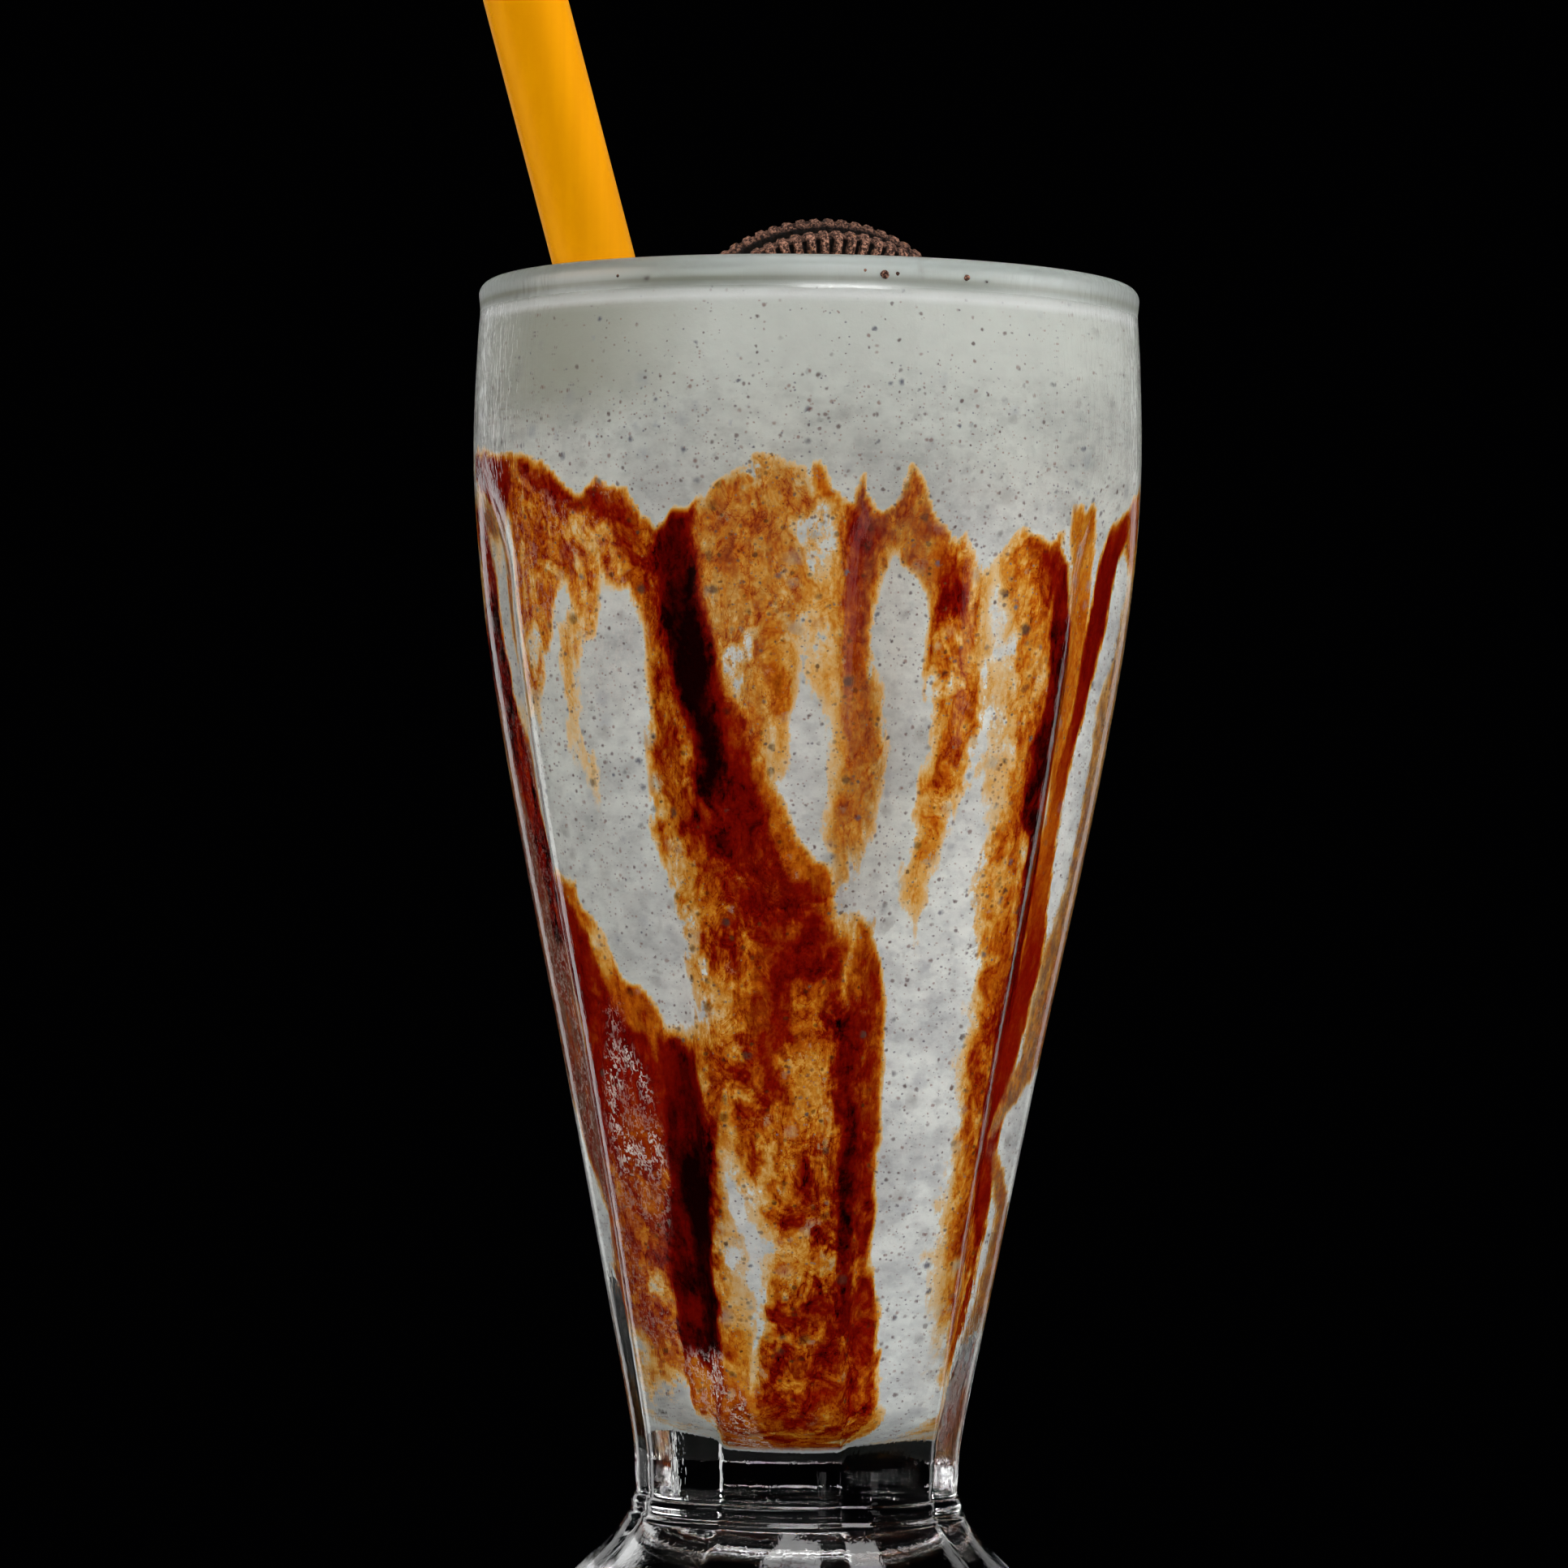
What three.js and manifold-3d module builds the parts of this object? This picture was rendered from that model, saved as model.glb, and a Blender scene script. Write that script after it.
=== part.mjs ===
// Cookies and cream milkshake, built together with its glass: a heavy pressed glass with eight
// upright flutes, a solid neck and a spreading foot, filled to the rim, with a fat straw and a
// chocolate sandwich cookie standing in the drink.
//
// Millimetres, +Z up, seen from the front along +Y. The glass stands on z = 0, and the whole
// group is moved sideways so that the origin lies under the middle of its bounding box.
//
// Nodes: glass, milkshake, straw, cookie_wafer_front, cookie_wafer_back, cookie_cream.
//
// Driving dimensions
//   GLASS_HEIGHT, RIM_RADIUS    the size of the glass, to the top of its rounded rim
//   FLUTE_COUNT, FLUTE_DEPTH    the upright flutes of the body
//   CAVITY_FLOOR, CAVITY_BOWL   the rounded bottom of the inside, its lowest point and its height
//   WALL, WALL_FADE             the wall's thickness, which is greatest at the base
//   DRINK_LEVEL, DRINK_CROWN    where the drink meets the wall, and how much it swells above that
//   STRAW_*, COOKIE_*, WAFER_*  the straw and the cookie, and how they lean

import * as THREE from 'three';
import { mergeVertices } from 'three/addons/utils/BufferGeometryUtils.js';
import Module from 'manifold-3d';

const { degToRad, lerp, smoothstep } = THREE.MathUtils;

const CLEARANCE = 0.3;

const GLASS_HEIGHT = 182;
const RIM_RADIUS = 43;
const RIM_BEAD_RADIUS = 1.65;
const FOOT_RING_INNER = 29.5;
const FOOT_RING_OUTER = 36;
const FOOT_RECESS_RADIUS = 22;
const FOOT_RECESS_HEIGHT = 2.2;
const CAVITY_FLOOR = 32;
const CAVITY_BOWL = 7.8;
const WALL = { atBase: 7, atFlutes: 2.3, atRim: 3.4 };
const WALL_FADE = { base: 33, body: 75 };

const FLUTE_COUNT = 8;
const FLUTE_TURN = degToRad(-6);
const FLUTE_DEPTH = { neck: 0.055, body: 0.07, footEdge: 0.02 };
const FLUTE_FADE = { footEdge: 3, foot: 15, neck: 36, body: 62, shoulder: 143, bulge: 160 };
const GLASS_SEGMENTS = FLUTE_COUNT * 6;

// The outside of the glass as radius and height, along the crest of a flute.
const GLASS_OUTLINE = [
  [39.3, 3.2], [38.5, 5.8], [35.3, 9.0], [32.0, 12.0], [28.5, 15.2], [24.2, 19.4], [21.8, 22.8],
  [21.0, 26.6], [21.3, 31.5], [22.4, 38], [24.7, 49.5], [27.05, 61.5], [31.15, 82],
  [36.0, 105], [39.2, 121.5], [41.8, 137], [43.15, 150], [43.5, 161], [43.2, 172],
  [42.8, 178.4],
];
const OUTLINE_ROWS = 27;
const CAVITY_ROWS = 12;
const BOWL_ROWS = 5;

const DRINK_LEVEL = 179.3;
const DRINK_CROWN = 3.4;
const DRINK_SWIRL = { height: 0.55, arms: 2, twist: 0.16 };
const DRINK_SURFACE_RINGS = [0.94, 0.82, 0.66, 0.46, 0.24];

const STRAW_RADIUS = 5.25;
const STRAW_WALL = 0.45;
const STRAW_LENGTH = 197;
const STRAW_FOOT = new THREE.Vector3(9.12, 5.54, 48.86);
const STRAW_DIRECTION = new THREE.Vector3(-0.273, -0.16, 1).normalize();
const STRAW_SIDES = 24;

const WAFER_RADIUS = 21.5;
const WAFER_THICKNESS = 3;
const CREAM_THICKNESS = 3;
const CREAM_RADIUS = 18.6;
const WAFER_RIDGES = 72;
const RIDGE_LENGTH = 3.2;
const RIDGE_DEPTH = { face: 0.75, rim: 0.3 };
const COOKIE_CENTRE = new THREE.Vector3(1.35, 6, 170);
const COOKIE_LEAN = degToRad(22);
const COOKIE_TURN = degToRad(12);

const wasm = await Module();
wasm.setup();

// Turns a shape made around the Y axis upright, so that it stands along +Z.
const upright = (geometry) => geometry.rotateX(Math.PI / 2);

// Joins the shared vertices of a closed shape and drops the triangles that shrank to a line.
function closedGeometry(geometry) {
  geometry.deleteAttribute('normal');
  geometry.deleteAttribute('uv');
  const merged = mergeVertices(geometry);
  const corners = merged.index.array;
  const kept = [];
  for (let i = 0; i < corners.length; i += 3) {
    const [a, b, c] = corners.slice(i, i + 3);
    if (a !== b && b !== c && c !== a) kept.push(a, b, c);
  }
  merged.setIndex(kept);
  merged.computeVertexNormals();
  return merged;
}

function solidFrom(geometry) {
  const closed = closedGeometry(geometry);
  return new wasm.Manifold(new wasm.Mesh({
    numProp: 3,
    vertProperties: new Float32Array(closed.attributes.position.array),
    triVerts: new Uint32Array(closed.index.array),
  }));
}

function geometryFrom(solid) {
  const { vertProperties, triVerts } = solid.getMesh();
  const geometry = new THREE.BufferGeometry();
  geometry.setAttribute('position', new THREE.BufferAttribute(vertProperties, 3));
  geometry.setIndex(new THREE.BufferAttribute(triVerts, 1));
  geometry.computeVertexNormals();
  return geometry;
}

// A closed shape turned around +Z from [radius, height] points that start and end on the axis.
function turned(profile, segments, start = 0) {
  const points = profile.map(([radius, height]) => new THREE.Vector2(radius, height));
  return upright(new THREE.LatheGeometry(points, segments, start, 2 * Math.PI));
}

function smoothOutline(points, rows) {
  const curve = new THREE.SplineCurve(points.map(([radius, height]) => new THREE.Vector2(radius, height)));
  return curve.getPoints(rows).map(({ x, y }) => [x, y]);
}

const glassSide = smoothOutline(GLASS_OUTLINE, OUTLINE_ROWS);

// The crests' radius at a height, which stays the same above the end of the outline.
function crestRadius(height) {
  const [topRadius, top] = glassSide[glassSide.length - 1];
  if (height >= top) return topRadius;
  const above = Math.max(1, glassSide.findIndex(([, z]) => z >= height));
  const [r0, z0] = glassSide[above - 1];
  const [r1, z1] = glassSide[above];
  return lerp(r0, r1, (height - z0) / (z1 - z0));
}

// How far the groove between two flutes lies inside their crests, as a share of the radius.
function fluteDepth(height) {
  const fade = FLUTE_FADE;
  const rising = lerp(FLUTE_DEPTH.neck, FLUTE_DEPTH.body, smoothstep(height, fade.neck, fade.body));
  const ending = 1 - smoothstep(height, fade.shoulder, fade.bulge);
  return height < fade.foot
    ? lerp(FLUTE_DEPTH.footEdge, FLUTE_DEPTH.neck, smoothstep(height, fade.footEdge, fade.foot))
    : rising * ending;
}

// Presses the flutes into the outer wall: each one is a rounded lobe between two sharp grooves.
function fluted(geometry, isOuterWall) {
  const position = geometry.attributes.position;
  const pitch = (2 * Math.PI) / FLUTE_COUNT;
  for (let i = 0; i < position.count; i += 1) {
    const x = position.getX(i);
    const y = position.getY(i);
    const z = position.getZ(i);
    if (isOuterWall(Math.hypot(x, y), z)) {
      const turn = (Math.atan2(x, -y) - FLUTE_TURN) / pitch;
      const fromCrest = 2 * Math.abs(turn - Math.round(turn));
      const scale = 1 - fluteDepth(z) * fromCrest ** 2;
      position.setXY(i, x * scale, y * scale);
    }
  }
  return geometry;
}

// The wall's thickness at a groove: heavy at the base, thinner in the body and fuller at the rim.
function wallThickness(height) {
  const body = lerp(WALL.atBase, WALL.atFlutes, smoothstep(height, WALL_FADE.base, WALL_FADE.body));
  return lerp(body, WALL.atRim, smoothstep(height, FLUTE_FADE.shoulder, FLUTE_FADE.bulge));
}

function cavityRadius(height) {
  return crestRadius(height) * (1 - fluteDepth(height)) - wallThickness(height);
}

// The inside of the glass from the middle of its floor up to a height, drawn in by a clearance.
function cavityOutline(topHeight, clearance) {
  const bowlTop = CAVITY_FLOOR + CAVITY_BOWL;
  const bowlRadius = cavityRadius(bowlTop) - clearance;
  const outline = [];
  for (let step = 0; step < BOWL_ROWS; step += 1) {
    const angle = (step / BOWL_ROWS) * (Math.PI / 2);
    outline.push([
      bowlRadius * Math.sin(angle),
      bowlTop - (CAVITY_BOWL - clearance) * Math.cos(angle),
    ]);
  }
  for (let row = 0; row <= CAVITY_ROWS; row += 1) {
    const height = lerp(bowlTop, topHeight, row / CAVITY_ROWS);
    outline.push([cavityRadius(height) - clearance, height]);
  }
  return outline;
}

function glassGeometry() {
  const beadHeight = GLASS_HEIGHT - RIM_BEAD_RADIUS;
  const beadCentre = RIM_RADIUS - RIM_BEAD_RADIUS;
  const underside = [
    [0, FOOT_RECESS_HEIGHT], [FOOT_RECESS_RADIUS, FOOT_RECESS_HEIGHT],
    [FOOT_RING_INNER, 0], [FOOT_RING_OUTER, 0], [38.4, 1.1],
  ];
  const rim = [];
  for (let step = 0; step <= 4; step += 1) {
    const angle = (step / 4) * Math.PI;
    rim.push([
      beadCentre + RIM_BEAD_RADIUS * Math.cos(angle),
      beadHeight + RIM_BEAD_RADIUS * Math.sin(angle),
    ]);
  }
  const inside = cavityOutline(beadHeight - RIM_BEAD_RADIUS, 0).reverse();
  const outline = [...underside, ...glassSide, ...rim, ...inside];
  const cavityEdge = (radius, height) => height > CAVITY_FLOOR - 1 && radius < cavityRadius(height) + 0.5;
  const isOuterWall = (radius, height) => height > 0.5 && radius > FOOT_RECESS_RADIUS / 2
    && height < beadHeight - RIM_BEAD_RADIUS && !cavityEdge(radius, height);
  const glass = fluted(turned(outline, GLASS_SEGMENTS, FLUTE_TURN), isOuterWall);
  return closedGeometry(glass);
}

// The drink before the straw and the cookie are cut out of it.
function drinkGeometry() {
  const side = cavityOutline(DRINK_LEVEL, CLEARANCE);
  const [edgeRadius] = side[side.length - 1];
  const crown = (share) => DRINK_LEVEL + DRINK_CROWN * (1 - share ** 2) ** 0.8;
  const surface = DRINK_SURFACE_RINGS.map((share) => [share * edgeRadius, crown(share)]);
  const outline = [...side, ...surface, [0, crown(0)]];
  const drink = turned(outline, GLASS_SEGMENTS, FLUTE_TURN);
  const position = drink.attributes.position;
  for (let i = 0; i < position.count; i += 1) {
    const x = position.getX(i);
    const y = position.getY(i);
    const z = position.getZ(i);
    const radius = Math.hypot(x, y);
    if (z > DRINK_LEVEL + 0.1 && radius > 1) {
      const turn = DRINK_SWIRL.arms * Math.atan2(y, x) + DRINK_SWIRL.twist * radius;
      position.setZ(i, z + DRINK_SWIRL.height * Math.sin(turn));
    }
  }
  return drink;
}

// A tube along +Y whose profile closes on itself.
function strawGeometry() {
  const bore = STRAW_RADIUS - STRAW_WALL;
  const wall = [
    [bore, 0], [STRAW_RADIUS, 0], [STRAW_RADIUS, STRAW_LENGTH], [bore, STRAW_LENGTH], [bore, 0],
  ].map(([radius, height]) => new THREE.Vector2(radius, height));
  return closedGeometry(new THREE.LatheGeometry(wall, STRAW_SIDES));
}

// One biscuit, its inner face on y = 0 and its ridged outer face towards +Y.
function waferGeometry() {
  const face = WAFER_THICKNESS;
  const fieldRadius = WAFER_RADIUS - RIDGE_LENGTH;
  const outline = [
    [0, 0], [WAFER_RADIUS - 0.6, 0], [WAFER_RADIUS, 0.7], [WAFER_RADIUS, face - 0.9],
    [WAFER_RADIUS - 0.8, face], [fieldRadius + 0.7, face], [fieldRadius, face - 0.5],
    [0, face - 0.5],
  ].map(([radius, height]) => new THREE.Vector2(radius, height));
  const wafer = new THREE.LatheGeometry(outline, WAFER_RIDGES * 2);
  const position = wafer.attributes.position;
  for (let i = 0; i < position.count; i += 1) {
    const x = position.getX(i);
    const y = position.getY(i);
    const z = position.getZ(i);
    const radius = Math.hypot(x, z);
    const inValley = Math.cos(WAFER_RIDGES * Math.atan2(x, z)) < 0;
    if (inValley && radius > fieldRadius + 0.5) {
      const scale = radius > WAFER_RADIUS - 1.5 ? 1 - RIDGE_DEPTH.rim / WAFER_RADIUS : 1;
      const sunk = y > face / 2 ? y - RIDGE_DEPTH.face : y;
      position.setXYZ(i, x * scale, sunk, z * scale);
    }
  }
  return closedGeometry(wafer);
}

function creamGeometry() {
  const half = CREAM_THICKNESS / 2 - CLEARANCE;
  return closedGeometry(new THREE.CylinderGeometry(CREAM_RADIUS, CREAM_RADIUS, 2 * half, 64));
}

const MATERIALS = {
  glass: { color: 0xe4ecee, roughness: 0.04, metalness: 0, transparent: true, opacity: 0.35 },
  milkshake: { color: 0xcacbc6, roughness: 0.45, metalness: 0 },
  straw: { color: 0xdd9700, roughness: 0.42, metalness: 0 },
  wafer: { color: 0x35201a, roughness: 0.85, metalness: 0 },
  cream: { color: 0xf0ece2, roughness: 0.6, metalness: 0 },
};

function namedMesh(name, geometry, finish) {
  const mesh = new THREE.Mesh(geometry, new THREE.MeshStandardMaterial(MATERIALS[finish]));
  mesh.name = name;
  return mesh;
}

function buildStraw() {
  const straw = namedMesh('straw', strawGeometry(), 'straw');
  straw.position.copy(STRAW_FOOT);
  straw.quaternion.setFromUnitVectors(new THREE.Vector3(0, 1, 0), STRAW_DIRECTION);
  return straw;
}

// The cookie stands on edge, its front biscuit towards -Y, leaning forward and turned a little.
function buildCookie() {
  const front = namedMesh('cookie_wafer_front', waferGeometry(), 'wafer');
  front.rotation.x = Math.PI;
  front.position.y = -CREAM_THICKNESS / 2;
  const back = namedMesh('cookie_wafer_back', waferGeometry(), 'wafer');
  back.position.y = CREAM_THICKNESS / 2;
  const leaning = new THREE.Group();
  leaning.rotation.x = COOKIE_LEAN;
  leaning.add(front, back, namedMesh('cookie_cream', creamGeometry(), 'cream'));
  const cookie = new THREE.Group();
  cookie.position.copy(COOKIE_CENTRE);
  cookie.rotation.z = COOKIE_TURN;
  cookie.add(leaning);
  return cookie;
}

// The room that the straw takes in the drink, a clearance wider than the straw all round.
function strawRoom(straw) {
  const radius = STRAW_RADIUS + CLEARANCE;
  const room = new THREE.CylinderGeometry(radius, radius, STRAW_LENGTH, STRAW_SIDES);
  room.translate(0, STRAW_LENGTH / 2 - CLEARANCE, 0);
  return solidFrom(room.applyMatrix4(straw.matrixWorld));
}

function cookieRoom(cream) {
  const radius = WAFER_RADIUS + CLEARANCE;
  const thickness = CREAM_THICKNESS + 2 * (WAFER_THICKNESS + CLEARANCE);
  const room = new THREE.CylinderGeometry(radius, radius, thickness, 64);
  return solidFrom(room.applyMatrix4(cream.matrixWorld));
}

function buildDrink(straw, cookie) {
  const room = strawRoom(straw).add(cookieRoom(cookie.getObjectByName('cookie_cream')));
  const drink = solidFrom(drinkGeometry()).subtract(room);
  return namedMesh('milkshake', geometryFrom(drink), 'milkshake');
}

const straw = buildStraw();
const cookie = buildCookie();
straw.updateMatrixWorld(true);
cookie.updateMatrixWorld(true);

const milkshake = new THREE.Group();
milkshake.add(namedMesh('glass', glassGeometry(), 'glass'), buildDrink(straw, cookie), straw, cookie);

const box = new THREE.Box3().setFromObject(milkshake, true);
const middle = box.getCenter(new THREE.Vector3());
milkshake.position.set(-middle.x, -middle.y, 0);
milkshake.updateMatrixWorld(true);

export default milkshake;
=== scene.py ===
"""A cookies and cream milkshake in its fluted, footed glass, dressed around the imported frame.

The glass, the drink, the straw and the sandwich cookie are each a class that holds its own sizes
in millimetres. Heights are above the surface that the foot stands on, and radii and angles are
measured from the glass's axis, with angle 0 towards the camera and positive angles to its right.
"""

import logging
import math
import random
from dataclasses import dataclass, field
from enum import Enum
from typing import Sequence

import bpy
import numpy as np
from mathutils import Matrix, Vector


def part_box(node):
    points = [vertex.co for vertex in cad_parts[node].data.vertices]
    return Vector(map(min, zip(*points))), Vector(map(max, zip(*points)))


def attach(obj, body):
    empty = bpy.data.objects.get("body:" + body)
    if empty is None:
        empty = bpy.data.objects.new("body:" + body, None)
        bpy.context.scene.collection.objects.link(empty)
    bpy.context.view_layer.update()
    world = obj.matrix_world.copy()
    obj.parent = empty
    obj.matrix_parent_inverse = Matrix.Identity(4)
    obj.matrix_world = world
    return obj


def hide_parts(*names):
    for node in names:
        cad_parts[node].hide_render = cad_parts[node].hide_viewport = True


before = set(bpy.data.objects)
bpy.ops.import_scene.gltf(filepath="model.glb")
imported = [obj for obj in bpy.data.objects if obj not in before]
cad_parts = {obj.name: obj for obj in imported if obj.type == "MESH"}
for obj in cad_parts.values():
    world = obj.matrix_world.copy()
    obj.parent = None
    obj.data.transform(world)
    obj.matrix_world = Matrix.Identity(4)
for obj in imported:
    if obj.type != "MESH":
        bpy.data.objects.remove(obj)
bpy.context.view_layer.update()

MM = 0.001
PHOTO_SIDE = 1932
log = logging.getLogger("milkshake")

Profile = np.ndarray
Colour = tuple[float, float, float]


class Body(Enum):
    """The bodies of the frame that pieces ride on."""

    WHOLE = "root"


def linear(red: int, green: int, blue: int) -> Colour:
    """Turns a display colour into the linear one that shaders work in.

    Args:
        red: Red from 0 to 255.
        green: Green from 0 to 255.
        blue: Blue from 0 to 255.

    Returns:
        The linear colour.
    """
    shares = [channel / 255 for channel in (red, green, blue)]
    return tuple(s / 12.92 if s <= 0.04045 else ((s + 0.055) / 1.055) ** 2.4 for s in shares)


def smoothstep(value: np.ndarray | float, low: float, high: float) -> np.ndarray:
    """Rises softly from 0 to 1 while the value goes from low to high.

    Args:
        value: The value or values.
        low: Where the rise starts.
        high: Where it ends.

    Returns:
        The eased share.
    """
    share = np.clip((np.asarray(value, dtype=float) - low) / (high - low), 0, 1)
    return share * share * (3 - 2 * share)


def bell(distance: np.ndarray, width: float) -> np.ndarray:
    """Falls softly from 1 at no distance towards 0 past the width.

    Args:
        distance: The distances.
        width: How wide the fall is.

    Returns:
        The share or shares.
    """
    return np.exp(-((distance / width) ** 2))


def turn_between(start: np.ndarray | float, end: np.ndarray | float) -> np.ndarray:
    """Gives the shorter turn from one angle to another.

    Args:
        start: The first angle in degrees.
        end: The second angle in degrees.

    Returns:
        The turn from -180 to 180 degrees.
    """
    return (end - start + 180) % 360 - 180


def blend(low: float, high: float, share: np.ndarray | float) -> np.ndarray:
    """Goes straight from one value to another.

    Args:
        low: The value at a share of 0.
        high: The value at a share of 1.
        share: The share or shares.

    Returns:
        The value or values between.
    """
    return low + (high - low) * np.asarray(share, dtype=float)


class Ripple:
    """Smooth seeded noise on an upright round wall."""

    def __init__(self, seed: int) -> None:
        """Starts the draws.

        Args:
            seed: What the draws depend on.
        """
        self.draws = np.random.default_rng(seed)

    def at(self, angle: np.ndarray, height: np.ndarray, width: float, rise: float) -> np.ndarray:
        """Draws one layer of noise.

        Args:
            angle: The places' angles in degrees.
            height: Their heights in mm.
            width: The bumps' width in degrees.
            rise: The bumps' height in mm.

        Returns:
            The noise from -1 to 1.
        """
        columns = round(360 / width)
        grid = self.draws.uniform(-1, 1, (round(200 / rise) + 2, columns))
        across, up = (angle % 360) / width, np.clip(height, 0, 199) / rise
        column, row = across.astype(int), up.astype(int)
        over, above = smoothstep(across - column, 0, 1), smoothstep(up - row, 0, 1)
        corners = [grid[row + r, (column + c) % columns] for r in (0, 1) for c in (0, 1)]
        low = corners[0] + (corners[1] - corners[0]) * over
        high = corners[2] + (corners[3] - corners[2]) * over
        return low + (high - low) * above


class Wire:
    """A socket of a node tree that Python's arithmetic can be written with."""

    def __init__(self, tree: "NodeTree", socket: bpy.types.NodeSocket) -> None:
        """Keeps the tree and the socket.

        Args:
            tree: The tree that the socket is in.
            socket: The output socket.
        """
        self.tree = tree
        self.socket = socket

    def _math(self, operation: str, *values: "Wire | float") -> "Wire":
        """Adds one Math node.

        Args:
            operation: The node's operation.
            values: Its inputs in order.

        Returns:
            The node's output.
        """
        return self.tree.add("ShaderNodeMath", {"operation": operation}, dict(enumerate(values)))

    def __add__(self, other: "Wire | float") -> "Wire":
        """Adds a number or another wire."""
        return self._math("ADD", self, other)

    __radd__ = __add__

    def __sub__(self, other: "Wire | float") -> "Wire":
        """Takes a number or another wire away."""
        return self._math("SUBTRACT", self, other)

    def __rsub__(self, other: float) -> "Wire":
        """Takes this wire away from a number."""
        return self._math("SUBTRACT", other, self)

    def __mul__(self, other: "Wire | float") -> "Wire":
        """Multiplies by a number or another wire."""
        return self._math("MULTIPLY", self, other)

    __rmul__ = __mul__

    def __truediv__(self, other: "Wire | float") -> "Wire":
        """Divides by a number or another wire."""
        return self._math("DIVIDE", self, other)

    def __pow__(self, power: float) -> "Wire":
        """Raises this wire to a power."""
        return self._math("POWER", self, power)

    def __neg__(self) -> "Wire":
        """Turns the sign round."""
        return self._math("MULTIPLY", self, -1.0)

    def __abs__(self) -> "Wire":
        """Drops the sign."""
        return self._math("ABSOLUTE", self)

    def apply(self, operation: str, *values: "Wire | float") -> "Wire":
        """Runs any other Math operation on this wire.

        Args:
            operation: The Math node's operation.
            values: Its further inputs.

        Returns:
            The node's output.
        """
        return self._math(operation, self, *values)

    def rise(self, low: float, high: float) -> "Wire":
        """Rises softly from 0 at low to 1 at high.

        Args:
            low: Where the rise starts.
            high: Where it ends.

        Returns:
            The eased share.
        """
        settings = {"interpolation_type": "SMOOTHSTEP"}
        return self.tree.add("ShaderNodeMapRange", settings, {0: self, 1: low, 2: high})


class NodeTree:
    """Builds a shader or geometry node tree from a few short calls."""

    def __init__(self, tree: bpy.types.NodeTree) -> None:
        """Empties a tree and keeps it.

        Args:
            tree: The Blender node tree.
        """
        self.tree = tree
        tree.nodes.clear()

    def raw(self, kind: str, settings: dict[str, object], inputs: dict) -> bpy.types.Node:
        """Adds a node, sets it up and connects its inputs.

        Args:
            kind: The node's type name.
            settings: Its properties, set before its inputs.
            inputs: Values or wires for its input sockets, by name or number.

        Returns:
            The node.
        """
        node = self.tree.nodes.new(kind)
        for name, value in settings.items():
            setattr(node, name, value)
        for key, value in inputs.items():
            if isinstance(value, Wire):
                self.tree.links.new(value.socket, node.inputs[key])
            elif value is not None:
                node.inputs[key].default_value = value
        return node

    def add(self, kind: str, settings: dict[str, object], inputs: dict, output: int | str = 0) -> Wire:
        """Adds a node and gives back one of its outputs.

        Args:
            kind: The node's type name.
            settings: Its properties.
            inputs: Values or wires for its input sockets.
            output: The output's name or number.

        Returns:
            The output as a wire.
        """
        return Wire(self, self.raw(kind, settings, inputs).outputs[output])

    def ramp(self, factor: Wire, stops: Sequence[tuple[float, Colour]]) -> Wire:
        """Turns a number into a colour.

        Args:
            factor: The number.
            stops: Places from 0 to 1 and their colours.

        Returns:
            The colour.
        """
        node = self.raw("ShaderNodeValToRGB", {}, {0: factor})
        elements = node.color_ramp.elements
        while len(elements) < len(stops):
            elements.new(1.0)
        for element, (place, colour) in zip(elements, stops):
            element.position = place
            element.color = (*colour, 1.0)
        return Wire(self, node.outputs["Color"])

    def mix(self, share: Wire | float, first: Wire | Colour, second: Wire | Colour) -> Wire:
        """Mixes two colours.

        Args:
            share: How much of the second colour shows.
            first: The first colour.
            second: The second colour.

        Returns:
            The mixed colour.
        """
        ends = [(*c, 1.0) if isinstance(c, tuple) else c for c in (first, second)]
        settings = {"data_type": "RGBA"}
        return self.add("ShaderNodeMix", settings, {0: share, 6: ends[0], 7: ends[1]}, 2)


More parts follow.
